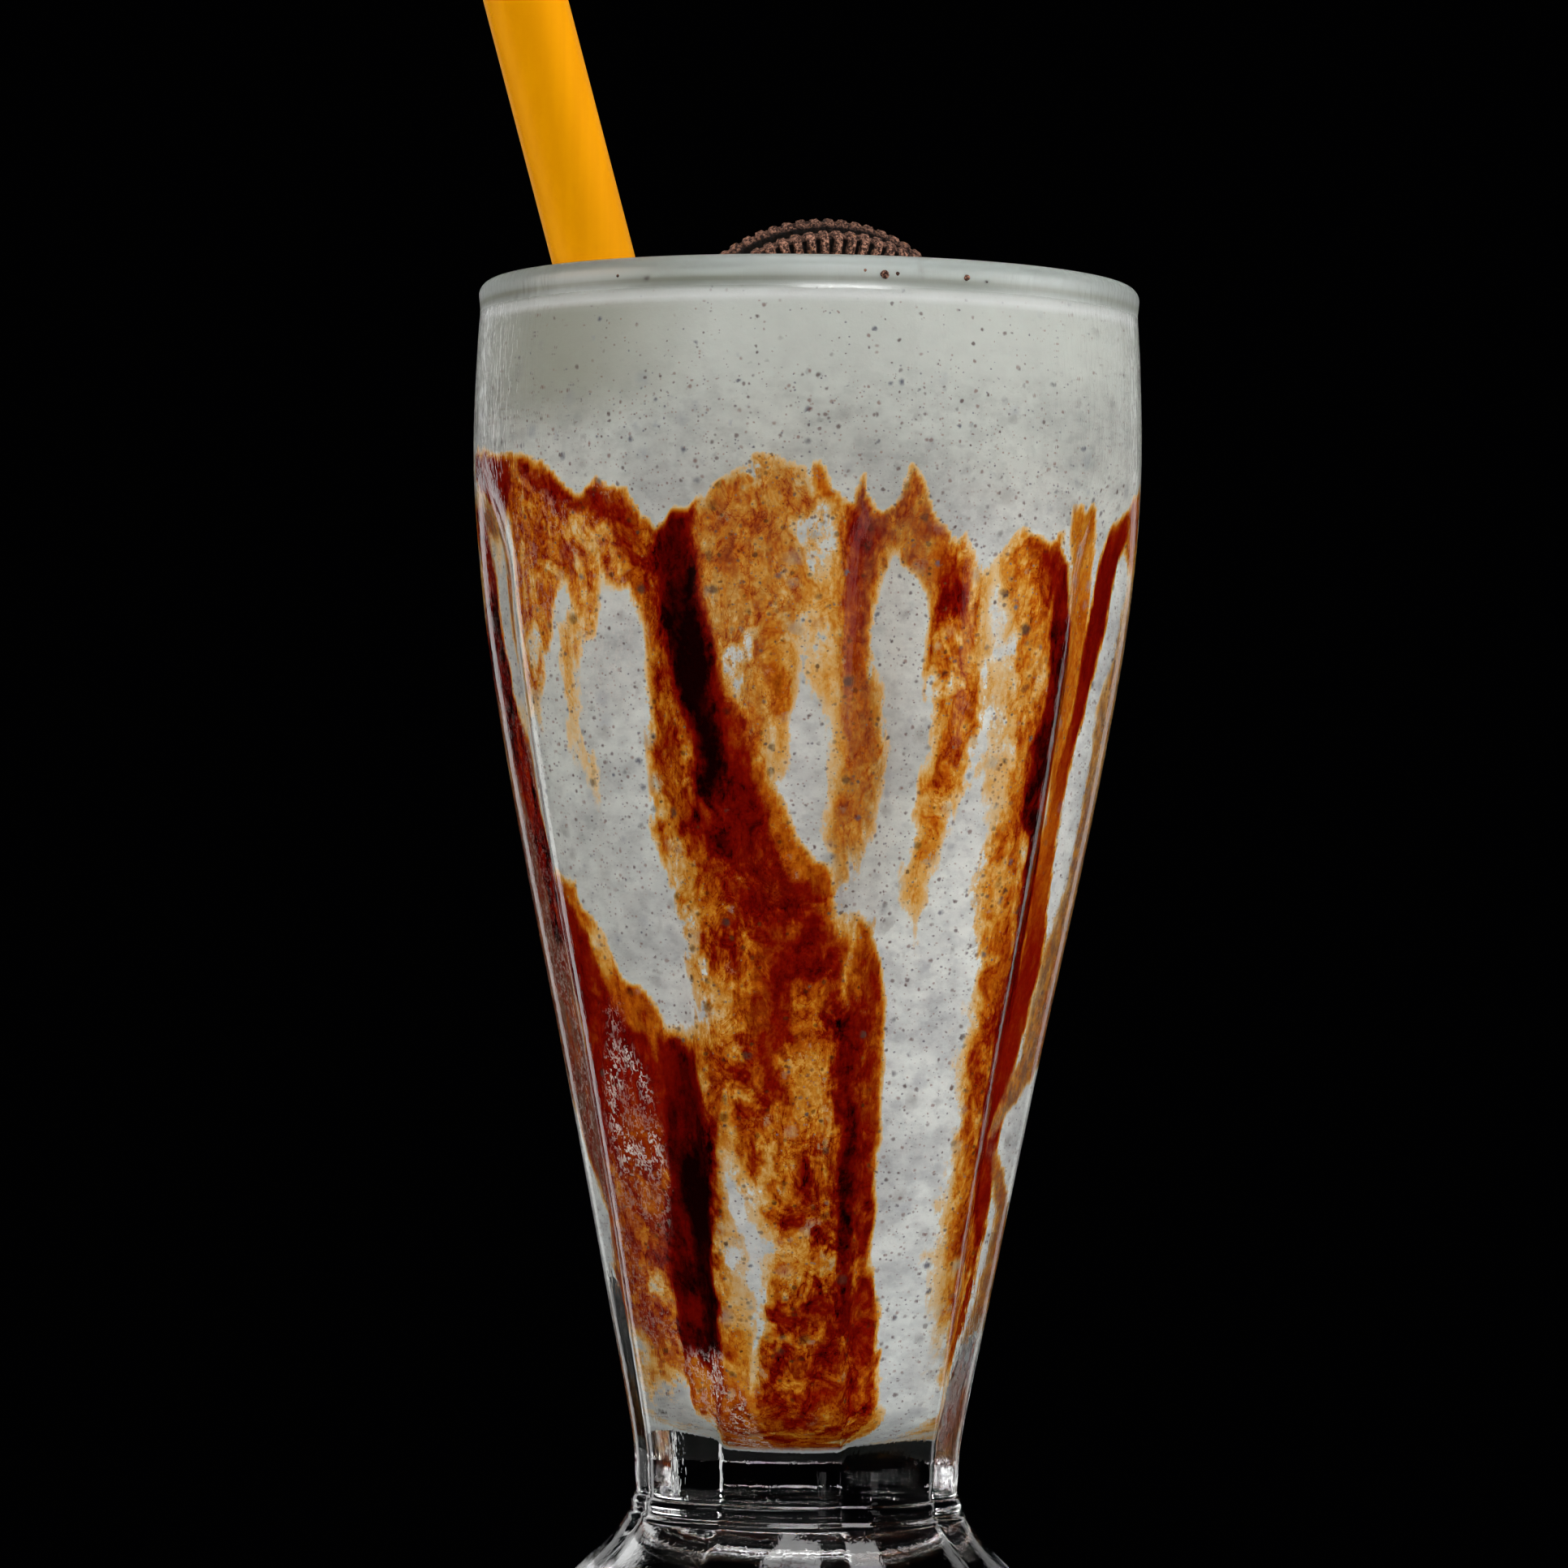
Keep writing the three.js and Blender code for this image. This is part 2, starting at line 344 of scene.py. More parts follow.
class ShaderTree(NodeTree):
    """A material's nodes, with one Principled shader at their end."""

    def __init__(self, name: str, constants: dict[str, object]) -> None:
        """Starts a material.

        Args:
            name: The material's name.
            constants: Values for the Principled shader's own sockets.
        """
        self.material = bpy.data.materials.new(name)
        self.material.use_nodes = True
        super().__init__(self.material.node_tree)
        self.shader = self.raw("ShaderNodeBsdfPrincipled", {}, constants)
        self.raw("ShaderNodeOutputMaterial", {}, {"Surface": Wire(self, self.shader.outputs[0])})

    def place(self, scale: tuple[float, float, float] = (1, 1, 1)) -> Wire:
        """Gives the object's own coordinates, stretched.

        Args:
            scale: The stretch along X, Y and Z.

        Returns:
            The coordinates.
        """
        coordinates = self.add("ShaderNodeTexCoord", {}, {}, "Object")
        return self.add("ShaderNodeMapping", {}, {"Vector": coordinates, "Scale": scale})

    def noise(
        self, scale: float, detail: float = 2.0, tall: float = 1.0, rough: float = 0.5, curl: float = 0.0,
    ) -> Wire:
        """Adds a noise texture in the object's own coordinates.

        Args:
            scale: Bumps for each metre.
            detail: How many finer layers it has.
            tall: How many times taller than wide its bumps are.
            rough: How strong the finer layers are.
            curl: How much it swirls.

        Returns:
            The noise from 0 to 1.
        """
        inputs = {
            "Vector": self.place((1.0, 1.0, 1.0 / tall)), "Scale": scale, "Detail": detail,
            "Roughness": rough, "Distortion": curl,
        }
        return self.add("ShaderNodeTexNoise", {}, inputs)

    def attribute(self, name: str) -> Wire:
        """Reads a number that the mesh holds for each vertex."""
        return self.add("ShaderNodeAttribute", {"attribute_name": name}, {}, "Fac")

    def bump(self, height: Wire, strength: float, distance: float) -> None:
        """Gives the surface a fine relief.

        Args:
            height: The relief from 0 to 1.
            strength: How much of it shows.
            distance: Its depth in metres.
        """
        inputs = {"Strength": strength, "Distance": distance, "Height": height}
        self.set("Normal", self.add("ShaderNodeBump", {}, inputs))

    def set(self, name: str, value: Wire) -> None:
        """Connects a wire to the Principled shader."""
        self.tree.links.new(value.socket, self.shader.inputs[name])


@dataclass(frozen=True)
class GlassFinish:
    """Clear pressed glass, with the faintest waviness, fine condensation and a frosted rim,
    with a band of painted shade along the lower edge of the rim's bead.
    """

    ior: float = 1.5
    wave_scale: float = 90.0
    dew_scale: float = 1300.0
    frosted: float = 0.45
    clear: Colour = (0.97, 0.985, 0.98)
    misted: Colour = (0.58, 0.62, 0.625)
    painted_rim_shade: Colour = (0.17, 0.17, 0.11)

    def material(self) -> bpy.types.Material:
        """Builds the material.

        Returns:
            The material.
        """
        tree = ShaderTree("clear_pressed_glass", {"IOR": self.ior, "Transmission Weight": 1.0})
        waves = tree.noise(self.wave_scale, detail=1.0)
        runs = tree.noise(self.dew_scale, detail=2.0, tall=4.5, rough=0.6).rise(0.4, 0.6)
        dew = runs * tree.attribute("dew")
        rim = tree.attribute("rim_frost")
        glass = tree.mix(rim, self.clear, self.misted)
        # Painted shade: the glass turns dark olive in a band along the lower edge of the rim's bead.
        tree.set("Base Color", tree.mix(tree.attribute("rim_shade_band"), glass, self.painted_rim_shade))
        tree.set("Roughness", rim * self.frosted + dew * 0.06)
        tree.bump(waves * 0.5 + dew * 0.7, 0.25, 0.0004)
        return tree.material


@dataclass(frozen=True)
class Speckle:
    """One size of cookie dust in the shake.

    Attributes:
        scale: Grains for each metre each way, if every cell held one.
        share: The share of the cells that hold one.
        radius: The largest grain's radius, as a share of a cell.
        colour: Its colour.
        other: Another colour, which some of the grains have.
        cover: How strongly it shows.
        crisp: How sharp its edge is.
    """

    scale: float
    share: float
    radius: float
    colour: Colour
    other: Colour
    cover: float
    crisp: float


@dataclass(frozen=True)
class MilkshakeFinish:
    """Thick pale shake with cookie specks, and syrup from thin and tan to thick and near black."""

    shake: Colour = linear(250, 254, 250)
    shake_cloud: Colour = linear(176, 179, 182)
    shade: Colour = linear(160, 160, 144)
    frost: Colour = linear(250, 238, 230)
    haze: Colour = linear(118, 88, 72)
    syrup_shows: tuple[float, float] = (0.05, 0.11)
    dust_fades: tuple[float, float] = (0.3, 0.6)
    crumbs_come: tuple[float, float] = (0.2, 0.5)
    crumbs_fade: tuple[float, float] = (0.62, 0.85)
    dust: tuple[Speckle, ...] = (
        Speckle(330, 0.90, 0.55, linear(146, 150, 164), linear(158, 156, 152), 0.75, 1.0),
        Speckle(600, 0.38, 0.38, linear(84, 70, 70), linear(96, 96, 110), 0.90, 1.5),
        Speckle(1100, 0.90, 0.42, linear(124, 62, 42), linear(104, 86, 84), 0.90, 1.8),
        Speckle(2100, 0.70, 0.44, linear(150, 104, 84), linear(120, 118, 126), 0.90, 1.8),
    )
    crumbs: tuple[Speckle, ...] = (
        Speckle(430, 0.30, 0.42, linear(58, 38, 24), linear(84, 60, 52), 0.90, 1.8),
        Speckle(950, 0.34, 0.42, linear(70, 44, 24), linear(96, 56, 30), 0.85, 2.4),
    )

    def syrup_ramp(self) -> list[tuple[float, Colour]]:
        """Gives the syrup's colours by thickness.

        Returns:
            Places from 0 to 1 and their colours.
        """
        return [
            (0.0, linear(232, 222, 206)), (0.10, linear(238, 210, 162)), (0.22, linear(236, 180, 98)),
            (0.33, linear(222, 146, 44)), (0.45, linear(198, 100, 14)), (0.57, linear(160, 58, 6)),
            (0.68, linear(138, 20, 3)), (0.80, linear(109, 6, 2)), (0.91, linear(62, 3, 1)),
            (1.0, linear(26, 1, 1)),
        ]

    def _thickness(self, tree: ShaderTree) -> Wire:
        """Makes the painted syrup uneven.

        Args:
            tree: The material's nodes.

        Returns:
            Its thickness, from 0 for none to 1 for near black.
        """
        syrup, mottle = tree.attribute("syrup"), tree.attribute("mottle")
        pools = tree.noise(130.0, detail=4.0, tall=1.8, rough=0.6, curl=0.6)
        cream = pools.rise(0.50, 0.60)
        banks = 1.0 - abs(pools - 0.50).rise(0.0, 0.03)
        clots = tree.noise(380.0, detail=4.0, tall=1.5, rough=0.68, curl=0.5) - 0.5
        grain = tree.noise(1500.0, detail=3.0, tall=1.4, rough=0.65) - 0.5
        marbling = tree.noise(300.0, detail=4.0, tall=2.2, rough=0.66, curl=0.6) - 0.5
        veins = 1.0 - abs(marbling).rise(0.0, 0.022)
        rough = syrup * 2.0 + 0.5
        uneven = 0.08 - cream * 0.30 + banks * 0.10 + clots * rough + grain * 0.24 + veins * 0.14
        runs = tree.noise(330.0, detail=3.0, tall=5.0, rough=0.65) - 0.5
        jagged = tree.noise(520.0, detail=4.0, tall=2.2, rough=0.7) - 0.5
        covered = (syrup * 5.0).apply("MINIMUM", 1.0)
        body = syrup + covered * (runs * 0.30 + grain * 0.16 + mottle * uneven)
        return body + tree.attribute("seam") * (jagged * 1.7 + runs * 0.8)

    def _pale(self, tree: ShaderTree) -> Wire:
        """Colours the bare shake.

        Args:
            tree: The material's nodes.

        Returns:
            Its colour.
        """
        clouds = tree.noise(75.0, detail=4.0, rough=0.6).rise(0.40, 0.66)
        strokes = tree.noise(90.0, detail=4.0, tall=0.3, rough=0.65).rise(0.42, 0.68)
        flecks = tree.noise(420.0, detail=4.0, tall=0.7, rough=0.7).rise(0.40, 0.68)
        dull = (clouds * 0.46 + strokes * 0.16 + flecks * 0.30) * tree.attribute("crowd")
        pale = tree.mix(dull, self.shake, self.shake_cloud)
        return tree.mix(tree.attribute("shade"), pale, self.shade)

    def material(self) -> bpy.types.Material:
        """Builds the material.

        Returns:
            The material.
        """
        constants = {"Roughness": 0.5, "Specular IOR Level": 0.0, "Coat Roughness": 0.2}
        tree = ShaderTree("streaked_milkshake", constants)
        thickness = self._thickness(tree)
        syrup = tree.ramp(thickness, self.syrup_ramp())
        colour = tree.mix(thickness.rise(*self.syrup_shows), self._pale(tree), syrup)
        clear = (1.0 - thickness.rise(*self.dust_fades)) * tree.attribute("crowd")
        for speckle in self.dust:
            colour = self._sprinkle(tree, colour, speckle, clear)
        mottled = tree.attribute("mottle").rise(*self.crumbs_come)
        patchy = mottled * (1.0 - thickness.rise(*self.crumbs_fade))
        for speckle in self.crumbs:
            colour = self._sprinkle(tree, colour, speckle, patchy)
        mist = tree.noise(900.0, detail=3.0, tall=2.6, rough=0.7).rise(0.38, 0.62) * 0.7 + 0.3
        colour = tree.mix(mist * tree.attribute("haze"), colour, self.haze)
        glints = tree.noise(1700.0, detail=2.0, tall=1.6, rough=0.7).rise(0.56, 0.65)
        crazing = tree.noise(560.0, detail=3.0, tall=2.6, rough=0.68, curl=0.3) - 0.5
        threads = 1.0 - abs(crazing).rise(0.0, 0.03)
        patches = tree.noise(170.0, detail=2.0, tall=1.5).rise(0.38, 0.60) * 0.8 + 0.2
        sparkle = glints.apply("MAXIMUM", threads) * patches
        colour = tree.mix(sparkle * tree.attribute("frost"), colour, self.frost)
        # Painted highlight: pure white along the shake's foot and in a band just under the rim.
        tree.set("Base Color", tree.mix(tree.attribute("lit_edge"), colour, (1.0, 1.0, 1.0)))
        tree.set("Coat Weight", tree.attribute("open_top"))
        tree.bump(tree.noise(1100.0, detail=4.0, rough=0.7), 0.3, 0.0002)
        return tree.material

    @staticmethod
    def _sprinkle(tree: ShaderTree, colour: Wire, speckle: Speckle, where: Wire) -> Wire:
        """Scatters one size of dust over a colour.

        Args:
            tree: The material's nodes.
            colour: The colour under the dust.
            speckle: The dust.
            where: How much of it shows, from 0 to 1.

        Returns:
            The dusted colour.
        """
        twist = tree.noise(1400.0, detail=1.0) * (0.35 / speckle.scale)
        at = tree.add("ShaderNodeVectorMath", {"operation": "ADD"}, {0: tree.place(), 1: twist})
        cells = tree.raw("ShaderNodeTexVoronoi", {}, {"Vector": at, "Scale": speckle.scale})
        distance = Wire(tree, cells.outputs["Distance"])
        draws = tree.raw("ShaderNodeSeparateColor", {}, {0: Wire(tree, cells.outputs["Color"])})
        chosen = Wire(tree, draws.outputs[0]).apply("LESS_THAN", where * speckle.share)
        reach = (Wire(tree, draws.outputs[1]) ** 2.0 * 0.75 + 0.25) * speckle.radius
        kind = Wire(tree, draws.outputs[2])
        dot = (1.0 - distance / reach).apply("MAXIMUM", 0.0) * speckle.crisp
        dot = dot.apply("MINIMUM", 1.0) * (kind * 0.5 + 0.5)
        dust = tree.mix(kind.rise(0.3, 0.7), speckle.colour, speckle.other)
        return tree.mix(dot * chosen * speckle.cover, colour, dust)


@dataclass(frozen=True)
class StrawFinish:
    """Satin yellow-orange plastic with faint lengthwise drawing lines."""

    colour: Colour = linear(208, 136, 0)
    shade: Colour = linear(203, 131, 0)

    def material(self) -> bpy.types.Material:
        """Builds the material.

        Returns:
            The material.
        """
        tree = ShaderTree("yellow_straw_plastic", {"Roughness": 0.5, "Specular IOR Level": 0.16})
        lines = tree.noise(600.0, detail=2.0, tall=33.0)
        tree.set("Base Color", tree.mix(lines.rise(0.35, 0.65), self.colour, self.shade))
        tree.bump(lines, 0.06, 0.0001)
        return tree.material


@dataclass(frozen=True)
class WaferFinish:
    """Dark baked cocoa crumb, paler where the grain stands up, with near black painted shade in its
    crevices.
    """

    dark: Colour = linear(44, 25, 19)
    pale: Colour = linear(200, 146, 122)
    crevice_shade: Colour = linear(5, 2, 2)
    crumb: Colour = linear(214, 146, 84)

    def material(self) -> bpy.types.Material:
        """Builds the material.

        Returns:
            The material.
        """
        tree = ShaderTree("baked_cocoa_wafer", {"Roughness": 0.5, "Specular IOR Level": 0.3})
        grain = tree.noise(2800.0, detail=4.0, rough=0.75)
        lumps = tree.noise(700.0, detail=3.0, rough=0.6)
        colour = tree.mix((grain * 0.8 + lumps * 0.2).rise(0.45, 0.62), self.dark, self.pale)
        rare = tree.noise(1900.0, detail=1.0).rise(0.72, 0.77)
        colour = tree.mix(rare, colour, self.crumb)
        # Painted shade: near black in the ridges' grooves, on the inner face and on the back biscuit's
        # inner edge.
        tree.set("Base Color", tree.mix(tree.attribute("crevice_shade"), colour, self.crevice_shade))
        tree.bump(grain, 1.0, 0.0005)
        return tree.material


@dataclass(frozen=True)
class CreamFinish:
    """Soft matt sugar cream."""

    colour: Colour = linear(240, 234, 220)
    shade: Colour = linear(214, 202, 182)

    def material(self) -> bpy.types.Material:
        """Builds the material.

        Returns:
            The material.
        """
        tree = ShaderTree("sugar_cream", {"Roughness": 0.6})
        grain = tree.noise(700.0, detail=3.0)
        tree.set("Base Color", tree.mix(grain.rise(0.4, 0.7), self.colour, self.shade))
        tree.bump(grain, 0.4, 0.0002)
        return tree.material


class Sculptor:
    """Makes plain meshes and finished pieces."""

    @staticmethod
    def turned(
        name: str, profile: Profile, segments: int, axis: tuple[float, float], start: float = 0.0,
    ) -> bpy.types.Object:
        """Turns a profile around an upright axis into a closed mesh.

        Args:
            name: The object's name.
            profile: Rows of radius and height in mm. Rows with no radius are poles.
            segments: How many columns the mesh has.
            axis: Where the axis stands, in mm.
            start: The first column's angle, in radians.

        Returns:
            The object, with its place in its mesh.
        """
        angles = start + np.arange(segments) * 2 * math.pi / segments
        around = np.stack([np.sin(angles), -np.cos(angles)], axis=1)
        points: list[np.ndarray] = []
        rows: list[np.ndarray] = []
        count = 0
        for radius, height in profile:
            if radius <= 1e-9:
                points.append(np.array([[axis[0], axis[1], height]]))
                rows.append(np.full(segments, count))
                count += 1
                continue
            ring = np.column_stack([around * radius + np.array(axis), np.full(segments, height)])
            points.append(ring)
            rows.append(np.arange(count, count + segments))
            count += segments
        faces: list[tuple[int, ...]] = []
        for low, high in zip(rows, rows[1:]):
            corners = np.stack([low, np.roll(low, -1), np.roll(high, -1), high], axis=1)
            faces.extend(tuple(dict.fromkeys(quad)) for quad in corners.tolist())
        mesh = bpy.data.meshes.new(name)
        mesh.from_pydata((np.concatenate(points) * MM).tolist(), [], faces)
        mesh.shade_smooth()
        piece = bpy.data.objects.new(name, mesh)
        bpy.context.collection.objects.link(piece)
        return piece

    @staticmethod
    def points(piece: bpy.types.Object) -> np.ndarray:
        """Gives an object's vertices.

        Args:
            piece: The object.

        Returns:
            One row of X, Y and Z in mm for each vertex.
        """
        flat = np.empty(len(piece.data.vertices) * 3)
        piece.data.vertices.foreach_get("co", flat)
        return flat.reshape(-1, 3) / MM

    @staticmethod
    def move(piece: bpy.types.Object, points: np.ndarray) -> None:
        """Puts an object's vertices at new places in mm."""
        piece.data.vertices.foreach_set("co", (points * MM).ravel())
        piece.data.update()

    @staticmethod
    def store(piece: bpy.types.Object, name: str, values: np.ndarray) -> None:
        """Stores a number for each vertex.

        Args:
            piece: The object.
            name: The attribute's name.
            values: One number for each vertex.
        """
        attribute = piece.data.attributes.new(name, "FLOAT", "POINT")
        attribute.data.foreach_set("value", values.astype(np.float32))

    @staticmethod
    def settle(piece: bpy.types.Object) -> None:
        """Turns an object with modifiers into a plain mesh.

        Args:
            piece: The object.
        """
        graph = bpy.context.evaluated_depsgraph_get()
        plain = bpy.data.meshes.new_from_object(piece.evaluated_get(graph))
        piece.modifiers.clear()
        piece.data = plain
        piece.data.shade_smooth()

    @staticmethod
    def finish(piece: bpy.types.Object, slot: str, *nodes: str) -> None:
        """Makes an object a piece of the part.

        Args:
            piece: The object.
            slot: Not used.
            nodes: The CAD nodes that it stands for.
        """
        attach(piece, Body.WHOLE.value)
        if nodes:
            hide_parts(*nodes)
        log.info("%s: %d faces", piece.name, len(piece.data.polygons))


class Rule(NodeTree):
    """A geometry node tree with named inputs, run once on an object."""

    def __init__(self, name: str, inputs: dict[str, float | int]) -> None:
        """Starts a tree that takes a mesh and some named sizes.

        Args:
            name: The tree's name.
            inputs: The named inputs and their values.
        """
        group = bpy.data.node_groups.new(name, "GeometryNodeTree")
        super().__init__(group)
        group.interface.new_socket("Geometry", in_out="INPUT", socket_type="NodeSocketGeometry")
        self.identifiers: dict[str, str] = {}
        self.values = inputs
        for label, value in inputs.items():
            kind = "NodeSocketInt" if isinstance(value, int) else "NodeSocketFloat"
            socket = group.interface.new_socket(label, in_out="INPUT", socket_type=kind)
            self.identifiers[label] = socket.identifier
        group.interface.new_socket("Geometry", in_out="OUTPUT", socket_type="NodeSocketGeometry")
        self.entry = self.raw("NodeGroupInput", {}, {})

    def given(self, label: str) -> Wire:
        """Gives a named input."""
        return Wire(self, self.entry.outputs[label])

    def stored(self, name: str) -> Wire:
        """Reads a number that the mesh holds for each vertex."""
        settings = {"data_type": "FLOAT"}
        return self.add("GeometryNodeInputNamedAttribute", settings, {"Name": name})

    def end(self, geometry: Wire, material: bpy.types.Material) -> None:
        """Ends the tree with real geometry in its material.

        Args:
            geometry: The geometry.
            material: Its material.
        """
        real = self.add("GeometryNodeRealizeInstances", {}, {0: geometry})
        dressed = self.add("GeometryNodeSetMaterial", {}, {"Geometry": real, "Material": material})
        self.raw("NodeGroupOutput", {}, {0: dressed})

    def run(self, piece: bpy.types.Object) -> None:
        """Runs the tree on an object and keeps the result as its mesh.

        Args:
            piece: The object.
        """
        modifier = piece.modifiers.new(self.tree.name, "NODES")
        modifier.node_group = self.tree
        for label, identifier in self.identifiers.items():
            modifier[identifier] = self.values[label]
        Sculptor.settle(piece)


@dataclass
class FlutedGlass:
    """The footed glass with eight upright flutes."""

    axis: tuple[float, float]
    height: float = 182.0
    rim_radius: float = 43.0
    bead_radius: float = 1.65
    ring_inner: float = 29.5
    ring_outer: float = 36.0
    recess_radius: float = 22.0
    recess_height: float = 2.2
    cavity_floor: float = 32.0
    bowl: float = 7.8
    wall_at_base: float = 7.0
    wall_at_flutes: float = 2.3
    wall_at_rim: float = 3.4
    flutes: int = 8
    turn: float = math.radians(-6)
    depth_body: float = 0.07
    depth_neck: float = 0.055
    depth_foot: float = 0.02
    groove_rounding: float = 0.03
    foot_to_neck: tuple[float, float] = (3.0, 15.0)
    neck_to_body: tuple[float, float] = (36.0, 62.0)
    wall_thins: tuple[float, float] = (33.0, 75.0)
    flutes_end: tuple[float, float] = (143.0, 160.0)
    rim_tuck: tuple[float, float] = (177.8, 179.6)
    tuck_share: float = 1.8
    mist_start: float = 4.6
    mist_full: float = 3.5
    # The band of painted shade along the lower edge of the rim's bead.
    band_depth: float = 3.1
    band_width: float = 0.55
    band_right: float = 0.7
    band_left: float = 0.3
    band_turn: tuple[float, float] = (-20.0, 40.0)
    least_dew: float = 0.10
    side_dew: float = 0.80
    dew_turn: tuple[float, float] = (30.0, 62.0)
    dew_height: tuple[float, float] = (152.0, 162.0)
    segments: int = 272
    side_rows: int = 240
    cavity_rows: int = 60
    outline: tuple[tuple[float, float], ...] = (
        (39.3, 3.2), (38.5, 5.8), (35.3, 9.0), (32.0, 12.0), (28.5, 15.2), (24.2, 19.4), (22.3, 21.9),
        (22.0, 22.6), (21.45, 23.3), (21.5, 24.2), (21.3, 24.9), (20.95, 25.4), (21.0, 26.6), (21.3, 31.5),
        (22.4, 38.0), (24.7, 49.5), (27.05, 61.5), (31.15, 82.0), (36.0, 105.0), (39.2, 121.5),
        (41.8, 137.0), (43.15, 150.0), (43.5, 161.0), (43.2, 172.0), (42.8, 178.4),
    )
    side: Profile = field(init=False)

    def __post_init__(self) -> None:
        """Draws the smooth side through the outline's points."""
        self.side = self._spline(np.array(self.outline), self.side_rows)

    @staticmethod
    def _spline(points: np.ndarray, rows: int) -> Profile:
        """Draws a Catmull-Rom curve through points.

        Args:
            points: Rows of radius and height.
            rows: How many steps the curve has.

        Returns:
            The curve's points.
        """
        places = np.linspace(0, len(points) - 1, rows + 1)
        index = np.minimum(places.astype(int), len(points) - 2)
        share = (places - index)[:, None]
        before = points[np.maximum(index - 1, 0)]
        start, end = points[index], points[index + 1]
        after = points[np.minimum(index + 2, len(points) - 1)]
        slope_in, slope_out = (end - before) / 2, (after - start) / 2
        return (
            (2 * start - 2 * end + slope_in + slope_out) * share**3
            + (-3 * start + 3 * end - 2 * slope_in - slope_out) * share**2
            + slope_in * share + start
        )

    def crest(self, height: np.ndarray | float) -> np.ndarray:
        """Gives the outer radius along a flute's crest, in mm.

        Args:
            height: The height or heights.

        Returns:
            The radius or radii.
        """
        return np.interp(height, self.side[:, 1], self.side[:, 0])

    def flute_depth(self, height: np.ndarray | float) -> np.ndarray:
        """Gives how deep the grooves are, as a share of the radius.

        Args:
            height: The height or heights.

        Returns:
            The share or shares.
        """
        rising = blend(self.depth_neck, self.depth_body, smoothstep(height, *self.neck_to_body))
        body = rising * (1 - smoothstep(height, *self.flutes_end))
        foot = blend(self.depth_foot, self.depth_neck, smoothstep(height, *self.foot_to_neck))
        return np.where(np.asarray(height) < self.foot_to_neck[1], foot, body)

    def cavity(self, height: np.ndarray | float) -> np.ndarray:
        """Gives the inside's radius, in mm.

        Args:
            height: The height or heights.

        Returns:
            The radius or radii.
        """
        body = blend(self.wall_at_base, self.wall_at_flutes, smoothstep(height, *self.wall_thins))
        wall = body + (self.wall_at_rim - body) * smoothstep(height, *self.flutes_end)
        return self.crest(height) * (1 - self.flute_depth(height)) - wall

    def cavity_profile(self, top: float, proud: float, rows: int) -> Profile:
        """Draws the inside of the glass from the middle of its floor upwards.

        Args:
            top: The height where it ends.
            proud: How far it lies inside the wall's glass, in mm.
            rows: How many steps its side has.

        Returns:
            Rows of radius and height.
        """
        bowl_top = self.cavity_floor + self.bowl
        radius = float(self.cavity(bowl_top)) + proud
        turns = np.linspace(0, math.pi / 2, 17)[:-1]
        low = bowl_top - (self.bowl + proud) * np.cos(turns)
        heights = np.linspace(bowl_top, top, rows + 1)
        bowl = np.column_stack([radius * np.sin(turns), low])
        reach = proud * (1 + self.tuck_share * smoothstep(heights, *self.rim_tuck))
        return np.concatenate([bowl, np.column_stack([self.cavity(heights) + reach, heights])])

    def _outline(self) -> tuple[Profile, np.ndarray]:
        """Draws the whole section and marks the rows that have flutes.

        Returns:
            The section, and the depth of the flutes for each of its rows.
        """
        bead_height = self.height - self.bead_radius
        bead_centre = self.rim_radius - self.bead_radius
        under = [
            [0, self.recess_height], [self.recess_radius * 0.5, self.recess_height],
            [self.recess_radius, self.recess_height], [25.8, 1.2], [self.ring_inner - 0.3, 0.1],
            [self.ring_inner, 0], [32.5, 0], [self.ring_outer, 0], [37.3, 0.3], [38.4, 1.1], [39.0, 2.0],
        ]
        turns = np.linspace(0, math.pi, 25)
        bead = np.column_stack([
            bead_centre + self.bead_radius * np.cos(turns), bead_height + self.bead_radius * np.sin(turns),
        ])
        inside = self.cavity_profile(bead_height - self.bead_radius, 0.0, self.cavity_rows)[::-1]
        fillet = np.linspace(self.side[-1], bead[0], 7)[1:-1]
        section = np.concatenate([under, self.side, fillet, bead, inside])
        depth = np.zeros(len(section))
        rows = slice(8, len(under) + len(self.side))
        depth[rows] = self.flute_depth(section[rows, 1])
        return section, depth

    def build(self, finish: GlassFinish) -> bpy.types.Object:
        """Builds the glass.

        Args:
            finish: Its finish.

        Returns:
            The piece.
        """
        section, depth = self._outline()
        piece = Sculptor.turned("glass_body", section, self.segments, self.axis, self.turn)
        per_row = np.repeat(depth, self.segments)
        poles = section[:, 0] <= 1e-9
        keep = np.repeat(~poles, self.segments)
        keep[:: self.segments] |= poles
        Sculptor.store(piece, "flute_depth", per_row[keep])
        points = Sculptor.points(piece)
        self._frost(piece, points)
        self._press(piece, finish.material())
        Sculptor.finish(piece, "clear_glass", "glass")
        return piece

    def _frost(self, piece: bpy.types.Object, points: np.ndarray) -> None:
        """Marks where the glass is misted, its sides near the top and the rounded rim, and its painted
        shade band.

        Args:
            piece: The plain turned glass.
            points: Its vertices in mm.
        """
        across = points[:, 0] - self.axis[0]
        along = points[:, 1] - self.axis[1]
        height = points[:, 2]
        below_rim = self.height - height
        turn = np.degrees(np.arctan2(across, -along))
        outside = np.hypot(across, along) > self.cavity(height) + 1
        sideways = self.side_dew * smoothstep(np.abs(turn), *self.dew_turn)
        side_mist = sideways * smoothstep(height, *self.dew_height)
        Sculptor.store(piece, "dew", (self.least_dew + side_mist) * outside)
        Sculptor.store(piece, "rim_frost", smoothstep(-below_rim, -self.mist_start, -self.mist_full))
        # Painted shade: a dark band along the bead's lower edge, on the outside only, stronger towards the
        # left.
        leftward = smoothstep(-turn, *self.band_turn)
        band = bell(below_rim - self.band_depth, self.band_width)
        strength = self.band_right + self.band_left * leftward
        Sculptor.store(piece, "rim_shade_band", band * strength * outside)

